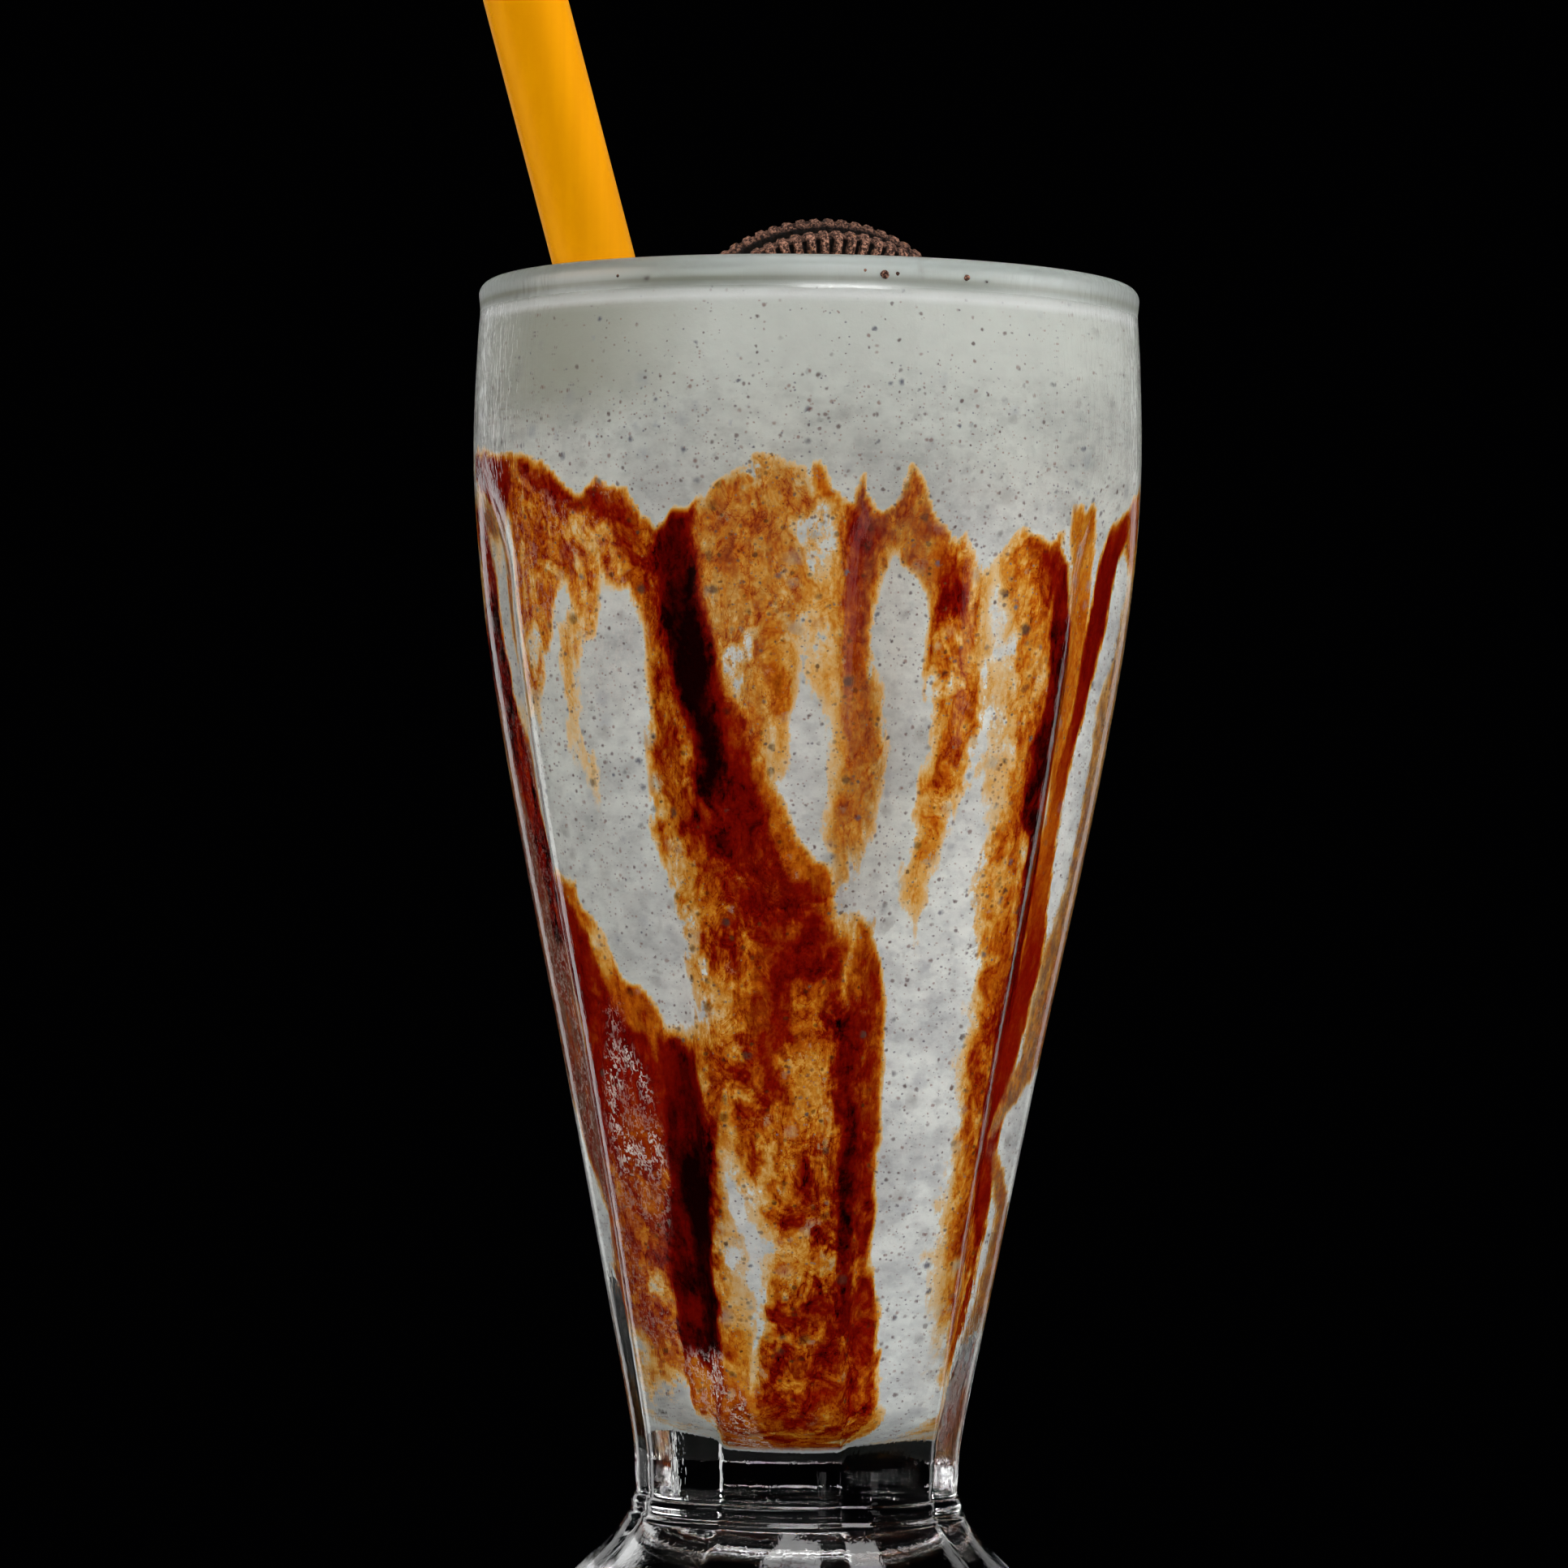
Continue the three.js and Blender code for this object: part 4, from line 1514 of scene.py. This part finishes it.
    def _tint(self, piece: bpy.types.Object, points: np.ndarray, angle: np.ndarray) -> None:
        """Paints shade on the shake, deepest near its rim, and highlights at its foot and just under the
        rim;
        marks its crowded specks and its open top.

        Args:
            piece: The drink.
            points: Its vertices in mm.
            angle: Their angles in degrees.
        """
        height = points[:, 2]
        left = self.left_shade * smoothstep(-angle, *self.left_shade_comes)
        left = left * smoothstep(-angle, *self.left_shade_goes)
        shades = [shade.at(angle, height) for shade in self.shades]
        Sculptor.store(piece, "shade", np.maximum.reduce([*shades, left]))
        crowd = 1.0 - self.fewer_specks * smoothstep(height, *self.fewer_specks_from)
        Sculptor.store(piece, "crowd", crowd)
        # Painted highlight: white along the shake's foot and in a band just under the rim.
        foot = self.glass.cavity_floor
        low, high = self.bright_foot
        lit_foot = 1.0 - smoothstep(height, foot + low, foot + high)
        lit_rim = self.bright_rim * bell(height - self.bright_height, self.bright_width)
        Sculptor.store(piece, "lit_edge", np.maximum(lit_foot, lit_rim))
        open_top = smoothstep(height, self.level - self.top_edge, self.level + self.top_edge)
        Sculptor.store(piece, "open_top", open_top)

    def _hidden_streaks(self) -> tuple[Streak, ...]:
        """Carries the syrup on round the far side by a seeded rule.

        Returns:
            The streaks, from the right edge of the front's pattern to its left edge.
        """
        draw = random.Random(self.seed)
        found: list[Streak] = []
        kinds = (
            ("far_field", 2.6, 0.85, (18, 34), (96, 128), (0.27, 0.32, 0.44), 4.0),
            ("far_run", 1.0, 0.35, (6, 13), (34, 96), (0.44, 0.66, 0.74, 0.84), 13.0),
        )
        for name, softness, mottle, widths, feet, thicknesses, gap in kinds:
            angle, last = self.far_angles
            while angle < last:
                width, foot = draw.uniform(*widths), draw.uniform(*feet)
                drift = draw.uniform(-9, 9)
                thickness = draw.choice(thicknesses)
                rows: list[tuple[float, float, float, float]] = []
                for share in (0.0, 0.3, 0.6, 1.0):
                    middle = angle + width / 2 + drift * (1 - share) + draw.uniform(-1.5, 1.5)
                    half = width * (0.22 + 0.28 * share) * draw.uniform(0.8, 1.2)
                    height = foot + (self.far_top - foot) * share
                    rows.append((height, middle - half, middle + half, thickness))
                found.append(Streak(name, softness, mottle, 0.0, tuple(rows)))
                angle += width + draw.uniform(0, gap)
        return tuple(found)


@dataclass
class Straw:
    """The fat straw that leans to the left."""

    origin: tuple[float, float]
    radius: float = 5.25
    wall: float = 0.45
    length: float = 197.0
    foot: tuple[float, float, float] = (9.12, 5.54, 48.86)
    lean: tuple[float, float, float] = (-0.273, -0.16, 1.0)
    segments: int = 96
    rows: int = 40

    def build(self, finish: StrawFinish) -> bpy.types.Object:
        """Builds the straw.

        Args:
            finish: Its finish.

        Returns:
            The piece.
        """
        bore, lip = self.radius - self.wall, self.wall / 2
        heights = np.linspace(lip, self.length - lip, self.rows)
        middle = (self.radius + bore) / 2
        outer = np.column_stack([np.full(self.rows, self.radius), heights])
        inner = np.column_stack([np.full(self.rows, bore), heights[::-1]])
        loop = np.concatenate([outer, [[middle, self.length]], inner, [[middle, 0.0]]])
        angles = np.arange(self.segments) * 2 * math.pi / self.segments
        rings = np.stack([
            np.outer(loop[:, 0], np.sin(angles)), np.outer(loop[:, 0], -np.cos(angles)),
            np.repeat(loop[:, 1:], self.segments, axis=1),
        ], axis=2)
        numbers = np.arange(len(loop) * self.segments).reshape(len(loop), self.segments)
        nxt = np.roll(numbers, -1, axis=0)
        corners = np.stack([numbers, np.roll(numbers, -1, axis=1), np.roll(nxt, -1, axis=1), nxt], axis=2)
        mesh = bpy.data.meshes.new("straw_tube")
        mesh.from_pydata((rings.reshape(-1, 3) * MM).tolist(), [], corners.reshape(-1, 4).tolist())
        mesh.shade_smooth()
        piece = bpy.data.objects.new("straw_tube", mesh)
        bpy.context.collection.objects.link(piece)
        turn = Vector((0, 0, 1)).rotation_difference(Vector(self.lean)).to_matrix().to_4x4()
        foot = Vector((self.foot[0] + self.origin[0], self.foot[1] + self.origin[1], self.foot[2])) * MM
        mesh.transform(Matrix.Translation(foot) @ turn)
        mesh.materials.append(finish.material())
        Sculptor.finish(piece, "straw", "straw")
        return piece


@dataclass
class SandwichCookie:
    """Two ridged cocoa biscuits with cream between them, standing on edge."""

    origin: tuple[float, float]
    radius: float = 21.5
    wafer: float = 3.0
    cream: float = 3.0
    cream_radius: float = 18.6
    ridges: int = 72
    ridge_length: float = 3.2
    face_depth: float = 0.75
    rim_depth: float = 0.3
    crumb_size: float = 1500.0
    crumb_height: float = 0.45
    beads: int = 36
    bead_ring: float = 16.2
    bead_height: float = 0.35
    bead_slope: tuple[float, float] = (0.4, 1.2)
    valley: tuple[float, float] = (0.46, 0.76)
    back_shadow: float = 0.3
    centre: tuple[float, float, float] = (1.35, 6.0, 170.0)
    lean: float = math.radians(22)
    turn: float = math.radians(12)
    columns: int = 960

    def _stand(self, piece: bpy.types.Object, flip: bool, offset: float) -> None:
        """Stands a disc that was made lying flat in its place in the cookie.

        Args:
            piece: The disc, with its outer face up.
            flip: Whether it is the front biscuit.
            offset: How far it lies from the cookie's middle, in mm.
        """
        face = Matrix.Rotation(math.pi / 2 if flip else -math.pi / 2, 4, "X")
        shift = Matrix.Translation(Vector((0, offset, 0)) * MM)
        across, along, up = self.centre
        middle = Vector((across + self.origin[0], along + self.origin[1], up))
        place = Matrix.Translation(middle * MM)
        turn = Matrix.Rotation(self.turn, 4, "Z") @ Matrix.Rotation(self.lean, 4, "X")
        piece.data.transform(place @ turn @ shift @ face)

    def _wafer(self, name: str, material: bpy.types.Material, shadow: float) -> bpy.types.Object:
        """Makes one biscuit, lying with its ridged face up.

        Args:
            name: Its name.
            material: Its material.
            shadow: How dark the painted shadow on the inner half of its edge is, from 0 to 1.

        Returns:
            The object.
        """
        face, edge = self.wafer, self.radius
        field, inner = face - 0.5, edge - self.ridge_length
        rows = [
            (0, 0, 0, 0), (8, 0, 0, 0), (16, 0, 0, 0), (edge - 1.3, 0, 0, 0), (edge - 0.7, 0.05, 0, 0.5),
            (edge - 0.25, 0.3, 0, 0.8), (edge, 0.75, 0, 1), (edge, 1.2, 0, 1), (edge, 1.7, 0, 1),
            (edge - 0.06, 2.05, 0.1, 1), (edge - 0.2, 2.35, 0.25, 1), (edge - 0.42, 2.65, 0.55, 1),
            (edge - 0.7, 2.86, 0.9, 1), (edge - 1.0, 2.96, 1, 0.6), (edge - 1.3, face, 1, 0.3),
            (edge - 1.7, face, 1, 0), (edge - 2.1, face, 1, 0), (edge - 2.45, face - 0.03, 1, 0),
            (edge - 2.75, face - 0.12, 0.8, 0), (edge - 3.0, face - 0.28, 0.4, 0),
            (inner, field + 0.05, 0.1, 0), (inner - 0.3, field, 0, 0), (inner - 0.8, field, 0, 0),
            (inner - 1.3, field, 0, 0),
        ]
        rows += [(radius, field, 0, 0) for radius in np.arange(16.5, 0.2, -0.5)]
        rows.append((0, field, 0, 0))
        section = np.array([row[:2] for row in rows])
        piece = Sculptor.turned(name, section, self.columns, (0.0, 0.0))
        poles = np.array([row[0] == 0 for row in rows])
        keep = np.repeat(~poles, self.columns)
        keep[:: self.columns] |= poles
        for label, column in (("face_ridge", 2), ("rim_ridge", 3)):
            Sculptor.store(piece, label, np.repeat([row[column] for row in rows], self.columns)[keep])
        self._ridge(piece, material, shadow)
        return piece

    def _ridge(self, piece: bpy.types.Object, material: bpy.types.Material, shadow: float) -> None:
        """Presses the ridges round a biscuit's edge, beads its field, roughens it and stores its painted
        shade.

        Args:
            piece: The plain disc.
            material: Its material.
            shadow: How dark the painted shadow on the inner half of its edge is, from 0 to 1.
        """
        inputs = {
            "Ridges": self.ridges, "Face depth": self.face_depth * MM, "Rim depth": self.rim_depth * MM,
            "Crumb size": self.crumb_size, "Crumb height": self.crumb_height * MM, "Beads": self.beads,
            "Bead ring": self.bead_ring * MM, "Bead height": self.bead_height * MM, "Shadow": shadow,
        }
        rule = Rule("press_ridges", inputs)
        position = rule.add("GeometryNodeInputPosition", {}, {})
        split = rule.raw("ShaderNodeSeparateXYZ", {}, {0: position})
        x, y, z = (Wire(rule, socket) for socket in split.outputs)
        angle = x.apply("ARCTAN2", y)
        turn = angle * rule.given("Ridges") / (2 * math.pi)
        from_ridge = abs(turn - turn.apply("ROUND")) * 2.0
        valley = from_ridge.rise(*self.valley)
        radius = (x * x + y * y).apply("SQRT").apply("MAXIMUM", 1e-6)
        scale = 1.0 - valley * rule.stored("rim_ridge") * rule.given("Rim depth") / radius
        sink = valley * rule.stored("face_ridge") * rule.given("Face depth")
        bead_turn = angle * rule.given("Beads") / (2 * math.pi)
        aside = (bead_turn - bead_turn.apply("ROUND")) * (2 * math.pi) / rule.given("Beads") * radius
        away = ((radius - rule.given("Bead ring")) ** 2.0 + aside * aside).apply("SQRT")
        crest, hem = (reach * MM for reach in self.bead_slope)
        on_face = z.rise((self.wafer - 0.8) * MM, (self.wafer - 0.6) * MM)
        bead = (1.0 - away.rise(crest, hem)) * on_face * rule.given("Bead height")
        place = rule.add("ShaderNodeCombineXYZ", {}, {0: x * scale, 1: y * scale, 2: z - sink + bead})
        pressed = {"Geometry": rule.given("Geometry"), "Position": place}
        moved = rule.add("GeometryNodeSetPosition", {}, pressed)
        crumb = {"Vector": position, "Scale": rule.given("Crumb size"), "Detail": 3.0, "Roughness": 0.6}
        grain = rule.add("ShaderNodeTexNoise", {}, crumb)
        push = (grain - 0.5) * rule.given("Crumb height")
        normal = rule.add("GeometryNodeInputNormal", {}, {})
        offset = rule.add("ShaderNodeVectorMath", {"operation": "SCALE"}, {0: normal, "Scale": push})
        rough = rule.add("GeometryNodeSetPosition", {}, {"Geometry": moved, "Offset": offset})
        # Painted shade for the colour: the inner face by the cream, the inner half of the edge by the given
        # shadow, and the grooves.
        inner_face = 1.0 - z.rise(0.02 * MM, 0.5 * MM)
        inner_edge = (1.0 - z.rise(0.3 * MM, 1.2 * MM)) * rule.given("Shadow")
        shadow = inner_face.apply("MAXIMUM", inner_edge)
        depth = valley * (rule.stored("face_ridge") + rule.stored("rim_ridge") * 0.4) + shadow
        marked = {"Geometry": rough, "Name": "crevice_shade", "Value": depth}
        settings = {"data_type": "FLOAT"}
        rule.end(rule.add("GeometryNodeStoreNamedAttribute", settings, marked), material)
        rule.run(piece)

    def build(self, wafer: WaferFinish, cream: CreamFinish) -> list[bpy.types.Object]:
        """Builds the cookie.

        Args:
            wafer: The biscuits' finish.
            cream: The cream's finish.

        Returns:
            The pieces.
        """
        material = wafer.material()
        front = self._wafer("cookie_front_biscuit", material, 0.0)
        self._stand(front, True, -self.cream / 2)
        Sculptor.finish(front, "cookie_wafer", "cookie_wafer_front")
        back = self._wafer("cookie_back_biscuit", material, self.back_shadow)
        self._stand(back, False, self.cream / 2)
        Sculptor.finish(back, "cookie_wafer", "cookie_wafer_back")
        half = self.cream / 2
        bulge = self.cream_radius + 0.5
        section = np.array([
            (0, -half), (9, -half), (self.cream_radius, -half), (bulge - 0.2, -half * 0.7), (bulge, 0),
            (bulge - 0.2, half * 0.7), (self.cream_radius, half), (9, half), (0, half),
        ])
        filling = Sculptor.turned("cookie_cream_filling", section, 160, (0.0, 0.0))
        filling.data.materials.append(cream.material())
        self._stand(filling, False, 0.0)
        Sculptor.finish(filling, "cookie_cream", "cookie_cream")
        return [front, back, filling]


@dataclass
class Crumbs:
    """Loose biscuit crumbs on the drink and along the glass's rim.

    Attributes:
        glass: The glass that they lie in and on.
        drink: The drink that they lie on.
        rim: Angle in degrees, height in mm and size in mm of each crumb on the rim.
        count: How many lie on the drink.
        sizes: The smallest and the largest of those, in mm.
        from_wall: How far inside the rim's radius they stay, in mm.
        edge_room: How much further out the drink's top ends, in mm.
        proud: How far a crumb on the rim stands out, as a share of its size.
        seed: What their places depend on.
    """

    glass: FlutedGlass
    drink: Milkshake
    rim: tuple[tuple[float, float, float], ...] = (
        (12.4, 179.5, 1.1), (14.6, 179.6, 0.5), (27.0, 179.6, 0.8), (19.0, 179.3, 0.35),
        (-28.5, 179.2, 0.6), (-34.0, 179.6, 0.4), (9.0, 179.9, 0.35), (31.0, 179.3, 0.4),
    )
    count: int = 90
    sizes: tuple[float, float] = (0.3, 1.3)
    from_wall: float = 5.5
    edge_room: float = 2.0
    proud: float = 0.1
    seed: int = 5

    def _seats(self) -> tuple[list[Vector], list[float]]:
        """Finds where the crumbs lie.

        Returns:
            Their places in metres and their sizes in mm.
        """
        seats, sizes = [], []
        for angle, height, size in self.rim:
            up = (height - self.glass.height + self.glass.bead_radius) / self.glass.bead_radius
            out = self.glass.rim_radius - self.glass.bead_radius * (1 - math.sqrt(1 - up * up))
            seats.append(self._place(angle, out + size * self.proud, height))
            sizes.append(size)
        draw = random.Random(self.seed)
        reach = self.glass.rim_radius - self.from_wall
        for _ in range(self.count):
            radius, angle = reach * math.sqrt(draw.random()), draw.uniform(-180, 180)
            height = self.drink.top(radius / (reach + self.edge_room))
            seats.append(self._place(angle, radius, height))
            sizes.append(self.sizes[0] + (self.sizes[1] - self.sizes[0]) * draw.random() ** 3)
        return seats, sizes

    def _place(self, angle: float, radius: float, height: float) -> Vector:
        """Finds a place that is given round the glass's axis.

        Args:
            angle: Its angle in degrees.
            radius: Its distance from the axis in mm.
            height: Its height in mm.

        Returns:
            The place in metres.
        """
        turn = math.radians(angle)
        across = self.glass.axis[0] + radius * math.sin(turn)
        along = self.glass.axis[1] - radius * math.cos(turn)
        return Vector((across, along, height)) * MM

    def build(self, finish: WaferFinish) -> bpy.types.Object:
        """Builds the crumbs.

        Args:
            finish: Their finish.

        Returns:
            The piece.
        """
        seats, sizes = self._seats()
        mesh = bpy.data.meshes.new("loose_crumbs")
        mesh.from_pydata(seats, [], [])
        piece = bpy.data.objects.new("loose_crumbs", mesh)
        bpy.context.collection.objects.link(piece)
        Sculptor.store(piece, "crumb_size", np.array(sizes) * MM / 2)
        rule = Rule("scatter_crumbs", {"Roughness": 0.5, "Lumps": 1500.0, "Seed": self.seed})
        grain = rule.add("GeometryNodeMeshIcoSphere", {}, {"Radius": 1.0, "Subdivisions": 3})
        draws = {"Min": (0.0, 0.0, 0.0), "Max": (6.28, 6.28, 6.28), "Seed": rule.given("Seed")}
        turned = rule.add("FunctionNodeRandomValue", {"data_type": "FLOAT_VECTOR"}, draws)
        placed = {
            "Points": rule.given("Geometry"), "Instance": grain, "Rotation": turned,
            "Scale": rule.stored("crumb_size"),
        }
        scattered = rule.add("GeometryNodeInstanceOnPoints", {}, placed)
        real = rule.add("GeometryNodeRealizeInstances", {}, {0: scattered})
        lumps = rule.add("ShaderNodeTexNoise", {}, {"Scale": rule.given("Lumps"), "Detail": 2.0})
        push = (lumps - 0.5) * rule.given("Roughness") * MM
        normal = rule.add("GeometryNodeInputNormal", {}, {})
        offset = rule.add("ShaderNodeVectorMath", {"operation": "SCALE"}, {0: normal, "Scale": push})
        rough = rule.add("GeometryNodeSetPosition", {}, {"Geometry": real, "Offset": offset})
        rule.end(rough, finish.material())
        rule.run(piece)
        Sculptor.finish(piece, "cookie_wafer")
        return piece


@dataclass(frozen=True)
class Lamp:
    """One soft rectangular light.

    Attributes:
        name: Its name.
        azimuth: Its direction in degrees, 0 from the camera and positive to the right.
        reach: How far it hangs from the axis, in metres.
        height: How high it hangs, in metres.
        size: Its width and height, in metres.
        power: Its power in watts.
        reflected: Whether shiny surfaces show it.
        through: Whether it shows through the glass.
    """

    name: str
    azimuth: float
    reach: float
    height: float
    size: tuple[float, float]
    power: float
    reflected: bool
    through: bool = True


@dataclass
class Studio:
    """The pale floor, the soft lights and the camera.

    Attributes:
        axis: Where the glass's axis stands, in mm.
        eye_height: The camera's height, in mm.
        distance: How far it stands from the axis, in mm.
        focal_pixels: Its focal length, in the photograph's pixels.
        eye_row: The photograph's row that is level with the camera.
        axis_column: The photograph's column that the axis stands in.
        roll: How far the camera leans, in radians.
        sensor: The width of its sensor, in mm.
        floor_reach: The floor's radius, in metres.
        floor_level: The floor's height, in metres, just under the foot.
        floor_tone: The floor's colour.
        aim_height: The height that the lamps point at, in metres.
        room_tone: What the rest of the room gives back.
        lamps: The lamps.
    """

    axis: tuple[float, float]
    eye_height: float = 97.8
    distance: float = 824.0
    focal_pixels: float = 7800.0
    eye_row: float = 1150.0
    axis_column: float = 990.6
    roll: float = math.radians(0.62)
    sensor: float = 36.0
    floor_reach: float = 0.115
    floor_level: float = -0.0001
    floor_tone: Colour = (0.5, 0.5, 0.5)
    aim_height: float = 0.11
    room_tone: Colour = (0.0004, 0.0004, 0.0005)
    lamps: tuple[Lamp, ...] = (
        Lamp("left_softbox", -84, 0.75, 0.14, (0.5, 0.45), 5.2, False),
        Lamp("right_softbox", 84, 0.75, 0.14, (0.5, 0.45), 4.8, False),
        Lamp("front_fill", 12, 0.9, 0.32, (0.5, 0.14), 6.8, False),
        Lamp("overhead", 22, 0.2, 0.85, (0.5, 0.5), 3.8, True),
        Lamp("left_edge_strip", -148, 0.7, 0.2, (0.14, 0.8), 0.35, True, False),
        Lamp("right_edge_strip", 148, 0.7, 0.2, (0.14, 0.8), 0.22, True),
        Lamp("front_strip", 41, 0.9, 0.2, (0.14, 0.7), 0.14, True),
    )

    def floor(self) -> None:
        """Lays the round floor."""
        count = 96
        turns = [index * 2 * math.pi / count for index in range(count)]
        reach = self.floor_reach
        rim = [Vector((reach * math.cos(turn), reach * math.sin(turn), self.floor_level)) for turn in turns]
        mesh = bpy.data.meshes.new("studio_floor")
        mesh.from_pydata(rim, [], [tuple(range(count))])
        tree = ShaderTree("pale_studio_floor", {"Roughness": 0.7, "Base Color": (*self.floor_tone, 1.0)})
        mesh.materials.append(tree.material)
        floor = bpy.data.objects.new("studio_floor", mesh)
        floor.visible_transmission = False
        floor.visible_glossy = False
        bpy.context.collection.objects.link(floor)

    def lights(self) -> None:
        """Hangs the soft lights and dims the room."""
        aim = Vector((self.axis[0] * MM, 0, self.aim_height))
        for lamp in self.lamps:
            turn = math.radians(lamp.azimuth)
            away = Vector((math.sin(turn) * lamp.reach, -math.cos(turn) * lamp.reach, lamp.height))
            data = bpy.data.lights.new(lamp.name, "AREA")
            data.shape = "RECTANGLE"
            data.size, data.size_y = lamp.size
            data.energy = lamp.power
            piece = bpy.data.objects.new(lamp.name, data)
            piece.location = Vector((aim.x, aim.y, 0)) + away
            piece.rotation_euler = (aim - piece.location).to_track_quat("-Z", "Y").to_euler()
            piece.visible_glossy = lamp.reflected
            piece.visible_transmission = lamp.through
            bpy.context.collection.objects.link(piece)
        world = bpy.data.worlds.new("dim_room")
        world.use_nodes = True
        world.node_tree.nodes["Background"].inputs[0].default_value = (*self.room_tone, 1.0)
        bpy.context.scene.world = world
        bpy.context.scene.view_settings.view_transform = "Standard"

    def camera(self) -> None:
        """Sets the camera at the photograph's viewing angle."""
        middle = PHOTO_SIDE / 2
        data = bpy.data.cameras.new("photo_camera")
        data.sensor_width = self.sensor
        data.lens = self.focal_pixels / PHOTO_SIDE * self.sensor
        data.clip_start, data.clip_end = 0.01, 20.0
        camera = bpy.data.objects.new("photo_camera", data)
        aside = (middle - self.axis_column) * self.distance / self.focal_pixels
        camera.location = Vector((self.axis[0] + aside, self.axis[1] - self.distance, self.eye_height)) * MM
        pitch = math.atan((self.eye_row - middle) / self.focal_pixels)
        turn = Matrix.Rotation(math.pi / 2 + pitch, 3, "X") @ Matrix.Rotation(self.roll, 3, "Z")
        camera.rotation_euler = turn.to_euler()
        bpy.context.collection.objects.link(camera)
        bpy.context.scene.camera = camera


def glass_axis() -> tuple[float, float]:
    """Finds the glass's axis in the frame.

    Returns:
        Its place across and along, in mm.
    """
    low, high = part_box("glass")
    return tuple(float(a + b) / 2 / MM for a, b in list(zip(low, high))[:2])


def main() -> None:
    """Builds every piece in order."""
    logging.basicConfig(level=logging.INFO, format="%(name)s: %(message)s")
    axis = glass_axis()
    studio = Studio(axis)
    studio.floor()
    studio.lights()
    studio.camera()
    glass = FlutedGlass(axis)
    glass.build(GlassFinish())
    drink = Milkshake(glass)
    drink.build(MilkshakeFinish())
    Straw(axis).build(StrawFinish())
    SandwichCookie(axis).build(WaferFinish(), CreamFinish())
    Crumbs(glass, drink).build(WaferFinish())


if __name__ == "__main__":
    main()
